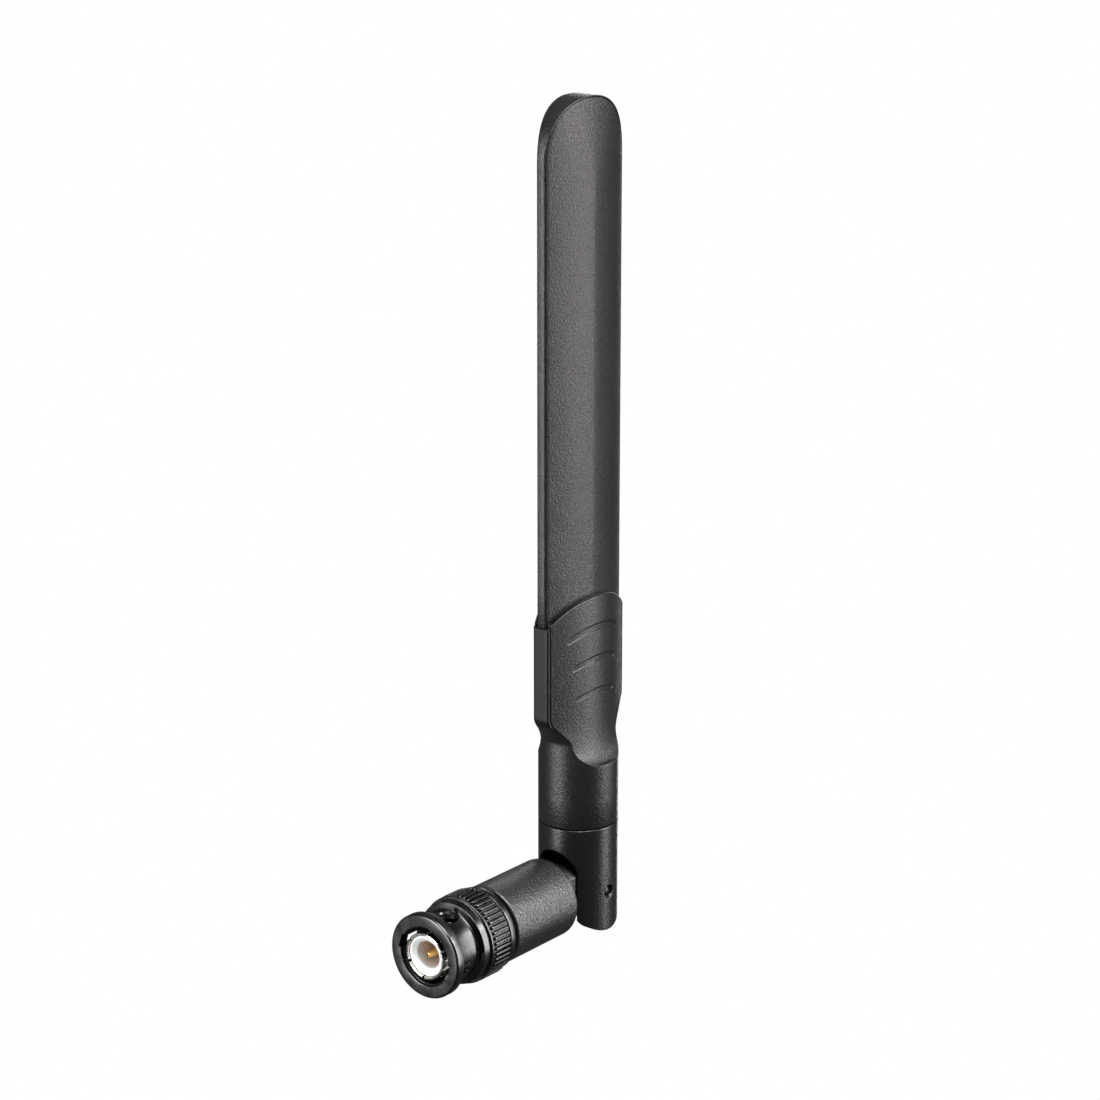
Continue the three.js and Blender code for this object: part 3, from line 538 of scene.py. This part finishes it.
NUT_LIP_R = 7.45
NUT_RIM_R = 7.75
DRUM_R = 6.1
LAND_R = 7.3
KNURL_R = 7.8
COLLAR_R = 7.45
NUT_MOUTH = 5.15
NUT_BORE = 4.9
NUT_ROOM = 6.1
NUT_END = NUT_HIGH.y
DRUM = (1.8, 6.9)
RIM_BEAD = (8.7, 9.3)
KNURL = (9.6, 13.9)
KNURLS = 50
KNURL_ROOT = LAND_R - 0.08
KNURL_CROWN = 0.2  # share of a rib's height that is its rounded top
KNURL_END = 0.3  # length of a rib's rounded end
# A turn is in degrees about the plug's axis, from +X towards +Z.
LOCK = {"turn": 80.0, "y": 5.0, "radius": 1.75}
ENTRY = {"turn": -17.0, "wide": 2.7, "deep": 5.6, "window": (2.0, 4.9)}


def knurl_relief(radius, along, angle):
    """Straight ribs with crowned tops and rounded ends, on the outside of the knurled band only."""
    wave = np.cos(KNURLS * angle)
    rib = mix(smoothstep(wave, -0.6, 0.0), smoothstep(wave, -0.6, 1.0), KNURL_CROWN)
    front = smoothstep(along, KNURL[0], KNURL[0] + KNURL_END)
    back = 1 - smoothstep(along, KNURL[1] - KNURL_END, KNURL[1])
    outside = (radius > LAND_R - 0.2).astype(float)
    return rib * np.sqrt(front * back) * outside * (KNURL_R - KNURL_ROOT)


def coupling_nut():
    """A front lip, a drum with lock holes, entries and cam grooves, a bead and a knurled ring."""
    outer = rounded([
        (NUT_MOUTH, 0.0, 0.2), (NUT_LIP_R, 0.0, 0.4), (NUT_LIP_R, DRUM[0], 0.18), (DRUM_R, DRUM[0], 0.15),
        (DRUM_R, DRUM[1], 0.3), (LAND_R, DRUM[1] + 0.25, 0.14), (LAND_R, RIM_BEAD[0], 0.1),
        (NUT_RIM_R, RIM_BEAD[0], 0.14), (NUT_RIM_R, RIM_BEAD[1], 0.14), (KNURL_ROOT, RIM_BEAD[1], 0.08),
    ])
    start, end = KNURL
    band = [(KNURL_ROOT, y) for y in np.linspace(start - 0.02, start + KNURL_END, 9)]
    band += [(KNURL_ROOT, y) for y in np.linspace(start + 2 * KNURL_END, end - 2 * KNURL_END, 4)]
    band += [(KNURL_ROOT, y) for y in np.linspace(end - KNURL_END, end + 0.02, 9)]
    groove = 6.6  # seats the retaining ring
    inner = rounded([
        (KNURL_ROOT, end + 0.15, 0.05), (COLLAR_R, end + 0.15, 0.12), (COLLAR_R, NUT_END, 0.35),
        (NUT_ROOM, NUT_END, 0.12), (NUT_ROOM, 14.1), (groove, 14.1), (groove, 12.95), (NUT_ROOM, 12.95),
        (NUT_ROOM, 9.2), (NUT_BORE, 9.2), (NUT_BORE, 0.9, 0.3), (NUT_MOUTH, 0.3, 0.15),
    ])
    nut = lathe("nut", outer + band + inner, KNURLS * 12, knurl_relief)
    tools = []
    for side in (0, 180):
        narrow, flared = LOCK["radius"] - 0.15, LOCK["radius"] + 0.25
        hole = [(0, 0), (narrow, 0), (narrow, 5.55), (flared, 6.0), (flared, 9), (0, 9)]
        lock = lathe("tool", hole, 72)
        # laid from the plug's axis onto +X
        stood(lock, Matrix(((0, 1, 0, 0), (-1, 0, 0, LOCK["y"] * MM), (0, 0, 1, 0), (0, 0, 0, 1))))
        tools.append(turned_about_plug(lock, LOCK["turn"] + side))
        half = ENTRY["wide"] / 2
        slot = block((3, ENTRY["deep"]), (-2, ENTRY["window"][1]), (-half, half))
        corners = [(ENTRY["window"][0], -half, 0.5), (ENTRY["window"][1], -half, 0.5),
                   (ENTRY["window"][1], half, 0.5), (ENTRY["window"][0], half, 0.5)]
        window = prism(rounded(corners), 0, 3, 9)
        tools.append(turned_about_plug(slot, ENTRY["turn"] + side))
        tools.append(turned_about_plug(window, ENTRY["turn"] + side))
        tools.append(cam_groove(side))
    return cut(nut, *tools)


def cam_groove(side):
    """The helical groove in the drum that draws a stud from the entry to the lock."""
    half = 1.15
    rings = []
    for share in np.linspace(0, 1, 40):
        angle = math.radians(ENTRY["turn"] + side + share * (LOCK["turn"] - ENTRY["turn"]))
        middle = mix(ENTRY["window"][1] - 1.3, LOCK["y"], share)
        ring = []
        for radius, offset in ((4.2, -half), (5.55, -half), (5.55, half), (4.2, half)):
            ring.append((radius * math.cos(angle), middle + offset, radius * math.sin(angle)))
        rings.append(ring)
    return skin("tool", rings, caps=BOTH_ENDS)


CONTACT_INNER = 3.68
CONTACT_SLITS = 6
SLIT_TURN = 26.0
SLIT_WIDE = 0.42
SLIT_END = 6.5


def outer_contact():
    end = CONTACT_HIGH.y
    outer = CONTACT_HIGH.z
    outline = rounded([
        (CONTACT_INNER, 0.05, 0.12), (outer, 0.05, 0.2), (outer, end, 0.05), (CONTACT_INNER, end, 0.05),
    ])
    tube = lathe("contact", outline, 240)
    tools = []
    for i in range(CONTACT_SLITS):
        half = SLIT_WIDE / 2
        corners = [(-2, -half), (SLIT_END, -half, half), (SLIT_END, half, half), (-2, half)]
        slit = prism(rounded(corners), 0, CONTACT_INNER - 1, outer + 1)
        tools.append(turned_about_plug(slit, SLIT_TURN + 360 * i / CONTACT_SLITS))
    return cut(tube, *tools)


def insulator():
    outer = CONTACT_INNER - 0.1
    return lathe("insulator", rounded([
        (2.45, 1.15, 0.5), (3.2, 0.4, 0.25), (outer, 0.4, 0.15), (outer, 10.6), (2.5, 10.6), (2.5, 13.1),
        (1.1, 13.1), (1.1, 6.5), (0.78, 6.5), (0.78, 5.6, 0.1), (2.45, 5.6, 0.3),
    ]), 160)


def center_pin():
    tip, radius = PIN_LOW.y, 0.675
    return lathe("pin", rounded([
        (0, tip), (0.4, tip, 0.2), (radius, tip + 0.75, 0.5), (radius, 6.6), (1.0, 6.6, 0.1),
        (1.0, PIN_HIGH.y, 0.08), (0.55, PIN_HIGH.y), (0.55, PIN_HIGH.y - 1.7), (0, PIN_HIGH.y - 1.7),
    ]), 96)


def connector_body():
    """The flange, hub, grooved spigot and cable tail, all turned from one bar."""
    socket, flange, hub, spigot, tail = 4.25, 5.8, 4.3, 3.6, 1.6
    bore = CABLE_R + 0.16

    def groove(y, wide, deep):
        root = spigot - deep
        return [(spigot, y, 0.05), (root, y, 0.05), (root, y + wide, 0.05), (spigot, y + wide, 0.05)]

    return lathe("body", rounded([
        (socket, 9.5, 0.05), (flange, 9.5, 0.2), (flange, 10.9, 0.2), (hub, 10.9, 0.1), (hub, 16.0, 0.15),
        (spigot, 16.0, 0.1), *groove(18.6, 1.1, 0.72), *groove(23.0, 1.0, 0.5), (spigot, 25.2, 0.3),
        (tail, 25.2, 0.1), (tail, 29.5, 0.1), (bore, 29.5), (bore, 13.4), (2.6, 13.4), (2.6, 10.6),
        (socket, 10.6),
    ]), 128)


# The seat is the face it rests on, and keep is how flat the pushed nut presses it.
WAVE = {
    "radii": (4.5, 5.7), "middle": 11.65, "rise": 0.3, "half": 0.125, "waves": 3, "seat": 10.9, "keep": 0.6,
}


def wave_spring():
    """A thin ring bent into waves."""
    rings = []
    for angle in np.linspace(0, 2 * math.pi, 180, endpoint=False):
        middle = WAVE["middle"] + WAVE["rise"] * math.cos(WAVE["waves"] * angle)
        section = [(r, middle + y) for r in WAVE["radii"] for y in (-WAVE["half"], WAVE["half"])]
        loop = [section[i] for i in (0, 2, 3, 1)]
        rings.append([(r * math.sin(angle), y, r * math.cos(angle)) for r, y in loop])
    return skin("wave", rings, closed=True)


def sealing_gasket():
    low, high = extent("sealing_gasket")
    return lathe("gasket", rounded([
        (4.25, low.y, 0.2), (high.x, low.y, 0.2), (high.x, high.y, 0.1), (4.25, high.y, 0.1),
    ]), 128)


# ---- knuckle ------------------------------------------------------------------------------------

PIVOT_HOLE = 1.0
WASHER = (3.5, 2.6)  # where a friction washer's seat starts, and its radius


def swivel_barrel():
    body = lathe("barrel", rounded([
        (0, BARREL_FRONT), (BARREL_R, BARREL_FRONT, 0.45), (BARREL_R, BARREL_BACK, 0.6), (0, BARREL_BACK),
    ], 8), 160)
    stem = rod(BALL_R, BARREL_BACK - 1, PIVOT_Y, 128)
    ball = lathe("tool", [
        (0, PIVOT_Y - BALL_R), *[(r, PIVOT_Y + y) for y, r in arc(BALL_R, 176, 4, 40)],
        (0, PIVOT_Y + BALL_R)], 128)
    flats = block((-TONGUE_HALF, TONGUE_HALF), (BARREL_BACK - 2, PIVOT_Y + 9), (-9, 9))
    tongue = combine(combine(stem, "UNION", ball), "INTERSECT", flats)
    room = CABLE_R + 0.4
    wide, clip_seat, tail = 3.75, 4.25, 2.5
    bore = lathe("tool", [
        (0, BARREL_FRONT - 3), (wide, BARREL_FRONT - 3), (wide, 22.85), (clip_seat, 22.85),
        (clip_seat, 24.15), (wide, 24.15), (wide, 25.8), (tail, 25.8), (tail, 31.1), (room, 31.9),
        (room, PIVOT_Y - 4), (0, PIVOT_Y - 4)], 96)
    channel = block((-room, room), (PIVOT_Y - 4.5, PIVOT_Y + 9), (-room, 9))
    hole = crosswise(rod(PIVOT_HOLE, -9, 9))
    seats = [crosswise(rod(WASHER[1], WASHER[0] - 0.1, TONGUE_HALF + 1), side) for side in (1, -1)]
    return melt(cut(combine(body, "UNION", tongue), bore, channel, hole, *seats), 0.1, 5)


def hinge_fork():
    top = FORK_HIGH.z
    seam = SEAM_Z - 0.2
    stock = upright(lathe("fork", rounded([
        (0, -CHEEK_R - 1), (NECK_R, -CHEEK_R - 1), (NECK_R, seam, 0.15), (SPIGOT_R, seam),
        (SPIGOT_R, top, 0.4), (0, top),
    ]), 192))
    shield = [(CHEEK_R, 20), (-CHEEK_R, 20), *arc(CHEEK_R, 180, 360, 96)]
    rounding = prism([(PIVOT_Y + y, z) for y, z in shield], 0, -9, 9)
    front = [(-SLOT_HALF, -12), (SLOT_HALF, -12), *arc(SLOT_HALF, 0, 180, 48, (0, SLOT_ARCH_Z))]
    slot = prism(front, 1, PIVOT_Y - 12, PIVOT_Y + 12)
    back = BALL_R + 0.25
    start = math.degrees(math.asin(SLOT_HALF / back))
    plan = [(-SLOT_HALF, -12), (SLOT_HALF, -12), *arc(back, 90 - start, 90 + start, 32)]
    reach = prism([(x, PIVOT_Y + y) for x, y in plan], 2, -14, 12)
    slot = combine(slot, "INTERSECT", reach)
    lane = upright(rod(CABLE_R + 1.2, SLOT_ARCH_Z, top + 3))
    holes = crosswise(rod(PIVOT_HOLE, -9, 9))
    flared = [(0, 6.6), (PIVOT_HOLE, 6.6), (PIVOT_HOLE + 0.3, 7.3), (0, 7.3)]
    rims = [crosswise(lathe("tool", flared, 64), side) for side in (1, -1)]
    return melt(cut(combine(stock, "INTERSECT", rounding), slot, lane, holes, *rims), 0.1, 5)


def pivot_pin(side):
    low, high = extent("pivot_pin_right")
    pin = lathe("pin", rounded([
        (0, low.x), (0.95, low.x, 0.12), (0.95, high.x - 0.45, 0.3), (0.6, high.x - 0.12, 0.3), (0, high.x),
    ]), 64)
    return crosswise(pin, side)


# ---- grip ---------------------------------------------------------------------------------------

PAD_STEPS = 56
SIDE_STEPS = 8
LIP = 0.16  # height of the rounded upper edge
# The scoop's lower edge: heights over SCOOP_Z, and how scooped the round section is there.
SCOOP_LEDGE = (
    (-6.2, 0.0), (-0.6, 0.0), (-0.14, 0.0), (-0.07, 0.03), (-0.02, 0.12), (0.0, 0.3), (0.0, 0.9),
    (0.04, 1.0),
)


def grip_arch(y):
    """Height of the grip's upper end, which is a shallow arch over the paddle."""
    sag = GRIP_CROWN_Z - GRIP_CORNER_Z
    radius = (GRIP_HALF**2 + sag**2) / (2 * sag)
    return GRIP_CROWN_Z - radius + np.sqrt(np.maximum(radius**2 - np.asarray(y) ** 2, 0))


def grip_quarter(z, scooped):
    """A quarter of the grip's section, from the middle of a pad (x) to the middle of a side (y)."""
    turn = float(smoothstep(z, *FLARE))
    deep = PAD_DEEP + (SCOOP_DEEP - PAD_DEEP) * math.exp(-max(z - SCOOP_Z, 0) / SCOOP_FALL)
    widening = float(smoothstep(z, SCOOP_Z, SCOOP_WIDE_Z))
    tilt = math.acos(min(1.0, mix(deep / NECK_R, SCOOP_SHARE, widening)))
    edge = np.array([mix(NECK_R * math.cos(tilt), GRIP_EDGE[0], turn),
                     mix(NECK_R * math.sin(tilt), GRIP_EDGE[1], turn)])
    soft = mix(SCOOP_RIDGE, PAD_RIDGE, float(smoothstep(z, SCOOP_Z, SCOOP_CROWNED_Z)))
    share = np.linspace(0, 1, PAD_STEPS + 1)
    y = share * edge[1]
    sink = (np.hypot(y, soft) - soft) / (math.hypot(edge[1], soft) - soft)
    pad = np.stack([edge[0] + (deep - edge[0]) * (1 - sink), y], axis=1)
    neck = NECK_R * np.stack([np.cos(share * tilt), np.sin(share * tilt)], axis=1)
    pad = mix(neck, pad, scooped)
    # the pad's edge, a fine groove at its foot, and the rounded corner of the narrow side
    ledge = [(-0.05, -0.7), (-0.2, -0.66), (-0.12, -0.58), (0.0, -0.5), (0.0, -0.36), (-0.05, -0.2),
             (-0.15, -0.08), (-0.3, 0.0)]
    flat = [(GRIP_BAND + x, GRIP_HALF + y) for x, y in ledge]
    flat += [(x, GRIP_HALF) for x in np.linspace(GRIP_BAND - 0.55, 0, SIDE_STEPS)]
    round_angle = tilt + (math.pi / 2 - tilt) * np.arange(1, len(flat) + 1) / len(flat)
    side = mix(NECK_R * np.stack([np.cos(round_angle), np.sin(round_angle)], axis=1), np.array(flat), turn)
    return np.concatenate([pad, side])


def mirrored(quarter):
    """A whole ring from its first quarter, going round from +x towards +y."""
    half = np.concatenate([quarter, quarter[-2::-1] * (-1, 1)])
    return np.concatenate([half, half[-2:0:-1] * (1, -1)])


def groove_depth(y, z):
    """Depth of the finger grooves: arched bands with round ends and a crisp lower edge."""
    deep = np.zeros_like(y)
    for low, half, wide in GROOVES:
        over_middle = z - (low - GROOVE_SAG * y * y) - wide / 2
        inside = wide / 2 - np.hypot(np.maximum(np.abs(y) - half, 0), over_middle)
        ramp = np.where(over_middle < 0, 0.14, 0.3)
        deep += GROOVE_DEEP * smoothstep(inside / ramp, 0, 1)
    return deep


def inside_grip(section, half, play):
    """The hole for the paddle: the grip's section drawn in to the paddle's."""
    y = section[:, 1] * half / GRIP_HALF
    x = np.minimum(np.abs(section[:, 0]), face_height(y, BLADE_FOOT) + play)
    return np.column_stack([np.sign(section[:, 0]) * x, y])


def grip_sleeve():
    def ring(section, z):
        return np.column_stack([section[:, 0], PIVOT_Y + section[:, 1], np.broadcast_to(z, len(section))])

    rings = []
    start = mirrored(grip_quarter(SEAM_Z, 0.0))
    for inset, rise in ((0.15, 0.0), (0.05, 0.04), (0.0, 0.14)):
        rings.append(ring(start * (1 - inset / NECK_R), SEAM_Z + rise))
    for rise, scooped in SCOOP_LEDGE:
        rings.append(ring(mirrored(grip_quarter(SCOOP_Z + rise, scooped)), SCOOP_Z + rise))
    for z in np.linspace(SCOOP_Z + 0.15, GRIP_FULL_Z, 80):
        rings.append(ring(mirrored(grip_quarter(z, 1.0)), z))
    section = mirrored(grip_quarter(GRIP_CROWN_Z, 1.0))
    arch = grip_arch(section[:, 1])
    on_pad = (np.abs(section[:, 1]) < GRIP_EDGE[1]).astype(float)
    for share in np.linspace(0, 1, 250)[1:]:
        z = mix(GRIP_FULL_Z, arch - LIP, share)
        grooved = section.copy()
        grooved[:, 0] -= np.sign(section[:, 0]) * on_pad * groove_depth(section[:, 1], z)
        rings.append(ring(grooved, z))
    for inset, rise in ((0.03, 0.06), (0.09, 0.12), (0.18, 0.15)):
        drawn_in = section - np.sign(section) * np.minimum(np.abs(section), inset)
        rings.append(ring(drawn_in, arch - LIP + rise))
    directions = section / np.linalg.norm(section, axis=1)[:, None]
    pocket = inside_grip(section, TANG_HALF + 0.15, 0.1)
    rings.append(ring(pocket, arch - 0.02))
    for z in (48.0, 40.0, BLADE_FOOT - 0.3):
        rings.append(ring(pocket, z))
    rings += [ring(directions * 2.6, BLADE_FOOT - 0.3), ring(directions * 2.6, 18.5)]
    rings += [ring(directions * 5.5, 18.5), ring(directions * 5.5, SEAM_Z)]
    return skin("grip", rings, closed=True)


def paint_band(obj, index):
    """Gives the grip's narrow sides their slightly smoother finish."""
    for face in obj.data.polygons:
        if abs(face.center.y / MM - PIVOT_Y) > GRIP_EDGE[1] + 0.02:
            face.material_index = index


# ---- paddle -------------------------------------------------------------------------------------

ACROSS = np.sign(np.linspace(-1, 1, 49)) * np.abs(np.linspace(-1, 1, 49)) ** 1.5
TRAY_ROUND = 0.24
RIM_ROUND = 0.1


def face_height(y, z):
    """Half thickness of the paddle: a softened ridge between two bowed facets. It sinks at the tip."""
    rise = np.clip((z - TIP_FROM) / (BLADE_TOP - TIP_FROM), 0, 1)
    ridge = mix(BLADE_RIDGE, TIP_RIDGE, rise**1.6)
    soft = CREST + TIP_CREST * smoothstep(z, BLADE_TOP - 16, BLADE_TOP - 2)
    fall = (np.hypot(y, soft) - soft) / (np.hypot(BLADE_HALF, soft) - soft)
    return ridge - (ridge - BLADE_EDGE) * mix(fall, fall**2, BOW)


def paddle_row(chords, edge, reach, base_z, angle=0.0, follow=None):
    """One closed loop round a piece of the paddle: along its first chord, round its right edge, back
    along its second chord and round its left edge. A point is (inset from the outline, side of the
    mid plane, depth below the face). At the tip the edges turn to the outline's normal."""
    cos, sin = math.cos(angle) ** TIP_FULLNESS, math.sin(angle) ** TIP_FULLNESS

    def place(across, inset, side, depth):
        away = reach - inset
        z = base_z + sin * away if follow is None else float(grip_arch(across * away)) + follow
        y = across * cos * away
        return (side * (float(face_height(y, z)) - depth), PIVOT_Y + y, z)

    first, second = chords
    row = [place(u, *first) for u in ACROSS]
    row += [place(1, *point) for point in edge]
    row += [place(-u, *second) for u in ACROSS]
    return row + [place(-1, *point) for point in edge[::-1]]


def paddle_piece(name, chords, edge):
    """A piece of the paddle from its tang in the grip to its round tip."""
    centre_z = BLADE_TOP - BLADE_HALF
    rows = [paddle_row(chords, edge, TANG_HALF, z) for z in (BLADE_FOOT, 42.0, 47.0)]
    # the tang widens into the paddle just over the grip's arch
    steps = ((TANG_HALF, 0.0), (BLADE_HALF - 0.12, 0.02), (BLADE_HALF - 0.03, 0.05), (BLADE_HALF, 0.14))
    rows += [paddle_row(chords, edge, reach, 0.0, follow=rise) for reach, rise in steps]
    rows += [paddle_row(chords, edge, BLADE_HALF, z) for z in np.linspace(56, centre_z, 40)]
    rows += [paddle_row(chords, edge, BLADE_HALF, centre_z, a) for a in np.radians(np.linspace(2, 90, 45))]
    return skin(name, np.array(rows), caps=(0,))


def blade_cover():
    """The bowed panel that lies inside the tray's rim."""
    inset = RIM + PARTING
    edge = [(inset + 0.03, 1, 0.03), (inset, 1, 0.1), (inset, 1, WALL)]
    return paddle_piece("cover", ((inset + 0.1, 1, 0.0), (inset, 1, WALL + 0.001)), edge)


def blade_tray():
    """The paddle's back and sides, with a thin rim and a ledge for the cover."""
    turns = np.radians((22.5, 45, 67.5, 90))
    edge = [(TRAY_ROUND * (1 - math.sin(t)), -1, TRAY_ROUND * (1 - math.cos(t))) for t in turns]
    edge += [(RIM_ROUND * (1 - math.sin(t)), 1, RIM_ROUND * (1 - math.cos(t))) for t in turns[::-1]]
    edge += [(RIM_ROUND, 1, 0.0), (RIM - 0.02, 1, 0.01), (RIM, 1, 0.05), (RIM, 1, WALL + PARTING)]
    edge += [(CAVITY, 1, WALL + PARTING)]
    return paddle_piece("tray", ((TRAY_ROUND, -1, 0.0), (CAVITY, -1, WALL)), edge)


# ---- cable --------------------------------------------------------------------------------------

CABLE_BEND = 5.0
CABLE_X = 1.15
CABLE_ROUTE = (
    (0, 13.5, 0), (0, 20, 0), (0, 27, 0), (0, 33, 0), (0, PIVOT_Y - CABLE_BEND, 0),
    (0, PIVOT_Y - CABLE_BEND * 0.617, CABLE_BEND * 0.076),
    (0, PIVOT_Y - CABLE_BEND * 0.293, CABLE_BEND * 0.293),
    (0, PIVOT_Y - CABLE_BEND * 0.076, CABLE_BEND * 0.617), (0, PIVOT_Y, CABLE_BEND),
    (0, PIVOT_Y, 10), (0, PIVOT_Y, 18), (0, PIVOT_Y, 26), (0, PIVOT_Y, 31.5),
    (CABLE_X * 0.5, PIVOT_Y, 35.5), (CABLE_X, PIVOT_Y, 39.5), (CABLE_X, PIVOT_Y, 46),
    (CABLE_X, PIVOT_Y, 60), (CABLE_X, PIVOT_Y, 75), (CABLE_X, PIVOT_Y, 89),
)


def along_route(points, steps):
    """A Catmull-Rom curve through the points, as an array of places."""
    p = np.array(points, float)
    p = np.concatenate([[2 * p[0] - p[1]], p, [2 * p[-1] - p[-2]]])
    places = []
    for a, b, c, d in zip(p, p[1:], p[2:], p[3:]):
        for t in np.linspace(0, 1, steps, endpoint=False):
            places.append(0.5 * (2 * b + (c - a) * t + (2 * a - 5 * b + 4 * c - d) * t**2
                                 + (3 * b - a - 3 * c + d) * t**3))
    return np.array([*places, p[-2]])


def coax_cable():
    places = along_route(CABLE_ROUTE, 10)
    tangents = np.gradient(places, axis=0)
    angles = np.linspace(0, 2 * math.pi, 20, endpoint=False)
    rings = []
    across = np.array((1.0, 0.0, 0.0))
    for place, tangent in zip(places, tangents):
        tangent = tangent / np.linalg.norm(tangent)
        across = across - tangent * (across @ tangent)
        across = across / np.linalg.norm(across)
        third = np.cross(tangent, across)
        rings.append([place + CABLE_R * (math.cos(a) * across + math.sin(a) * third) for a in angles])
    return skin("cable", rings, caps=BOTH_ENDS)


# ---- the object ---------------------------------------------------------------------------------


def build_plug():
    present(connector_body(), "plug_body", "connector", [BLACK_METAL], ["connector_body"])
    present(outer_contact(), "slotted_contact", "connector", [SILVER], ["outer_contact"])
    present(insulator(), "socket_insulator", "connector", [PTFE], ["insulator"], 50)
    present(center_pin(), "gold_pin", "connector", [GOLD], ["center_pin"], 50)
    present(sealing_gasket(), "socket_gasket", "connector", [RUBBER], ["sealing_gasket"])
    wave = present(wave_spring(), "wave_spring", "connector", [STEEL], ["wave_washer"], 50)
    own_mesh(wave)
    present(coupling_nut(), "bayonet_nut", "nut", [BLACK_METAL], ["coupling_nut"], 32)


def build_knuckle():
    present(swivel_barrel(), "barrel_moulding", "knuckle", [BARREL_SKIN], ["swivel_barrel"], 60)
    present(hinge_fork(), "fork_moulding", "blade", [FORK_SKIN], ["hinge_fork"], 60)
    for side, name in ((1, "right"), (-1, "left")):
        present(pivot_pin(side), f"domed_pin_{name}", "blade", [DARK_STEEL], [f"pivot_pin_{name}"])


def build_paddle():
    skins = [PAD_SKIN, BAND_SKIN]
    grip = present(grip_sleeve(), "grip_moulding", "blade", skins, ["grip_sleeve"], 40)
    paint_band(grip, skins.index(BAND_SKIN))
    present(blade_cover(), "paddle_cover", "blade", [PADDLE], ["blade_cover"], 40)
    present(blade_tray(), "paddle_tray", "blade", [PADDLE], ["blade_tray"], 40)
    cable = present(coax_cable(), "thin_coax", None, [JACKET], ["coax_cable"], 60)
    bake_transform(cable)


# ---- camera, light and ground -------------------------------------------------------------------


def add_camera():
    """Seen from between +X and -Y, a little above the object."""
    turn, rise, distance = math.radians(50.99), math.radians(16.63), 0.5256
    aim = Vector((-0.01452, 0.05151, 0.05664))
    back = Vector((math.cos(turn) * math.cos(rise), -math.sin(turn) * math.cos(rise), math.sin(rise)))
    data = bpy.data.cameras.new("camera")
    data.lens = 96.4
    data.sensor_width = 36.0
    data.sensor_fit = "HORIZONTAL"
    data.clip_start = 0.01
    camera = bpy.data.objects.new("camera", data)
    camera.location = aim + back * distance
    camera.rotation_mode = "QUATERNION"
    camera.rotation_quaternion = (-back).to_track_quat("-Z", "Y")
    bpy.context.scene.collection.objects.link(camera)
    bpy.context.scene.camera = camera


def add_softbox(name, azimuth, elevation, distance, size, power):
    """A rectangular lamp that faces the object. Azimuth 0 is on +X and -90 on the plug's side."""
    aim = Vector((0, 0.04, 0.05))
    a, e = math.radians(azimuth), math.radians(elevation)
    out = Vector((math.cos(a) * math.cos(e), math.sin(a) * math.cos(e), math.sin(e)))
    data = bpy.data.lights.new(name, "AREA")
    data.shape = "RECTANGLE"
    data.size, data.size_y = size
    data.energy = power
    lamp = bpy.data.objects.new(name, data)
    lamp.location = aim + out * distance
    lamp.rotation_mode = "QUATERNION"
    lamp.rotation_quaternion = (-out).to_track_quat("-Z", "Y")
    lamp.visible_camera = False
    bpy.context.scene.collection.objects.link(lamp)


def add_light():
    add_softbox("side_softbox", 33, 6, 0.7, (0.16, 0.8), 5.5)
    add_softbox("high_softbox", 34, 30, 0.7, (0.16, 0.16), 2.0)
    add_softbox("front_softbox", -112, 2, 0.7, (0.18, 0.6), 6.2)
    add_softbox("top_softbox", -20, 70, 0.6, (0.4, 0.4), 8.0)
    add_softbox("back_softbox", 118, -4, 0.8, (0.3, 0.7), 2.2)
    world = bpy.data.worlds.new("studio")
    world.use_nodes = True
    nodes, links = world.node_tree.nodes, world.node_tree.links
    surroundings = nodes["Background"]
    surroundings.inputs["Color"].default_value = (0.8, 0.82, 0.85, 1)
    surroundings.inputs["Strength"].default_value = 0.11
    backdrop = nodes.new("ShaderNodeBackground")
    backdrop.inputs["Color"].default_value = (1, 1, 1, 1)
    backdrop.inputs["Strength"].default_value = 1.0
    seen = nodes.new("ShaderNodeLightPath")
    choice = nodes.new("ShaderNodeMixShader")
    links.new(seen.outputs["Is Camera Ray"], choice.inputs["Fac"])
    links.new(surroundings.outputs[0], choice.inputs[1])
    links.new(backdrop.outputs[0], choice.inputs[2])
    links.new(choice.outputs[0], nodes["World Output"].inputs["Surface"])
    bpy.context.scene.world = world


def add_floor():
    """A pale floor below the antenna, which stands in the air as if held by its plug. It lies lower
    than the paddle's tip when the paddle hangs down. Its half size and its height are in metres."""
    half, low = 6.0, -0.17
    mesh = bpy.data.meshes.new("floor")
    mesh.from_pydata([(-half, -half, low), (half, -half, low), (half, half, low), (-half, half, low)], [],
                     [(0, 1, 2, 3)])
    floor = bpy.data.objects.new("floor", mesh)
    material = bpy.data.materials.new("pale_floor")
    material.use_nodes = True
    nodes, links = material.node_tree.nodes, material.node_tree.links
    glow = nodes.new("ShaderNodeEmission")
    glow.inputs["Color"].default_value = (1, 1, 1, 1)
    links.new(glow.outputs[0], nodes["Material Output"].inputs["Surface"])
    mesh.materials.append(material)
    bpy.context.scene.collection.objects.link(floor)
    for rays in ("visible_diffuse", "visible_glossy", "visible_transmission", "visible_shadow"):
        setattr(floor, rays, False)


bpy.context.scene.view_settings.view_transform = "Standard"
add_camera()
add_light()
add_floor()
finish_kept_nodes()
build_plug()
build_knuckle()
build_paddle()
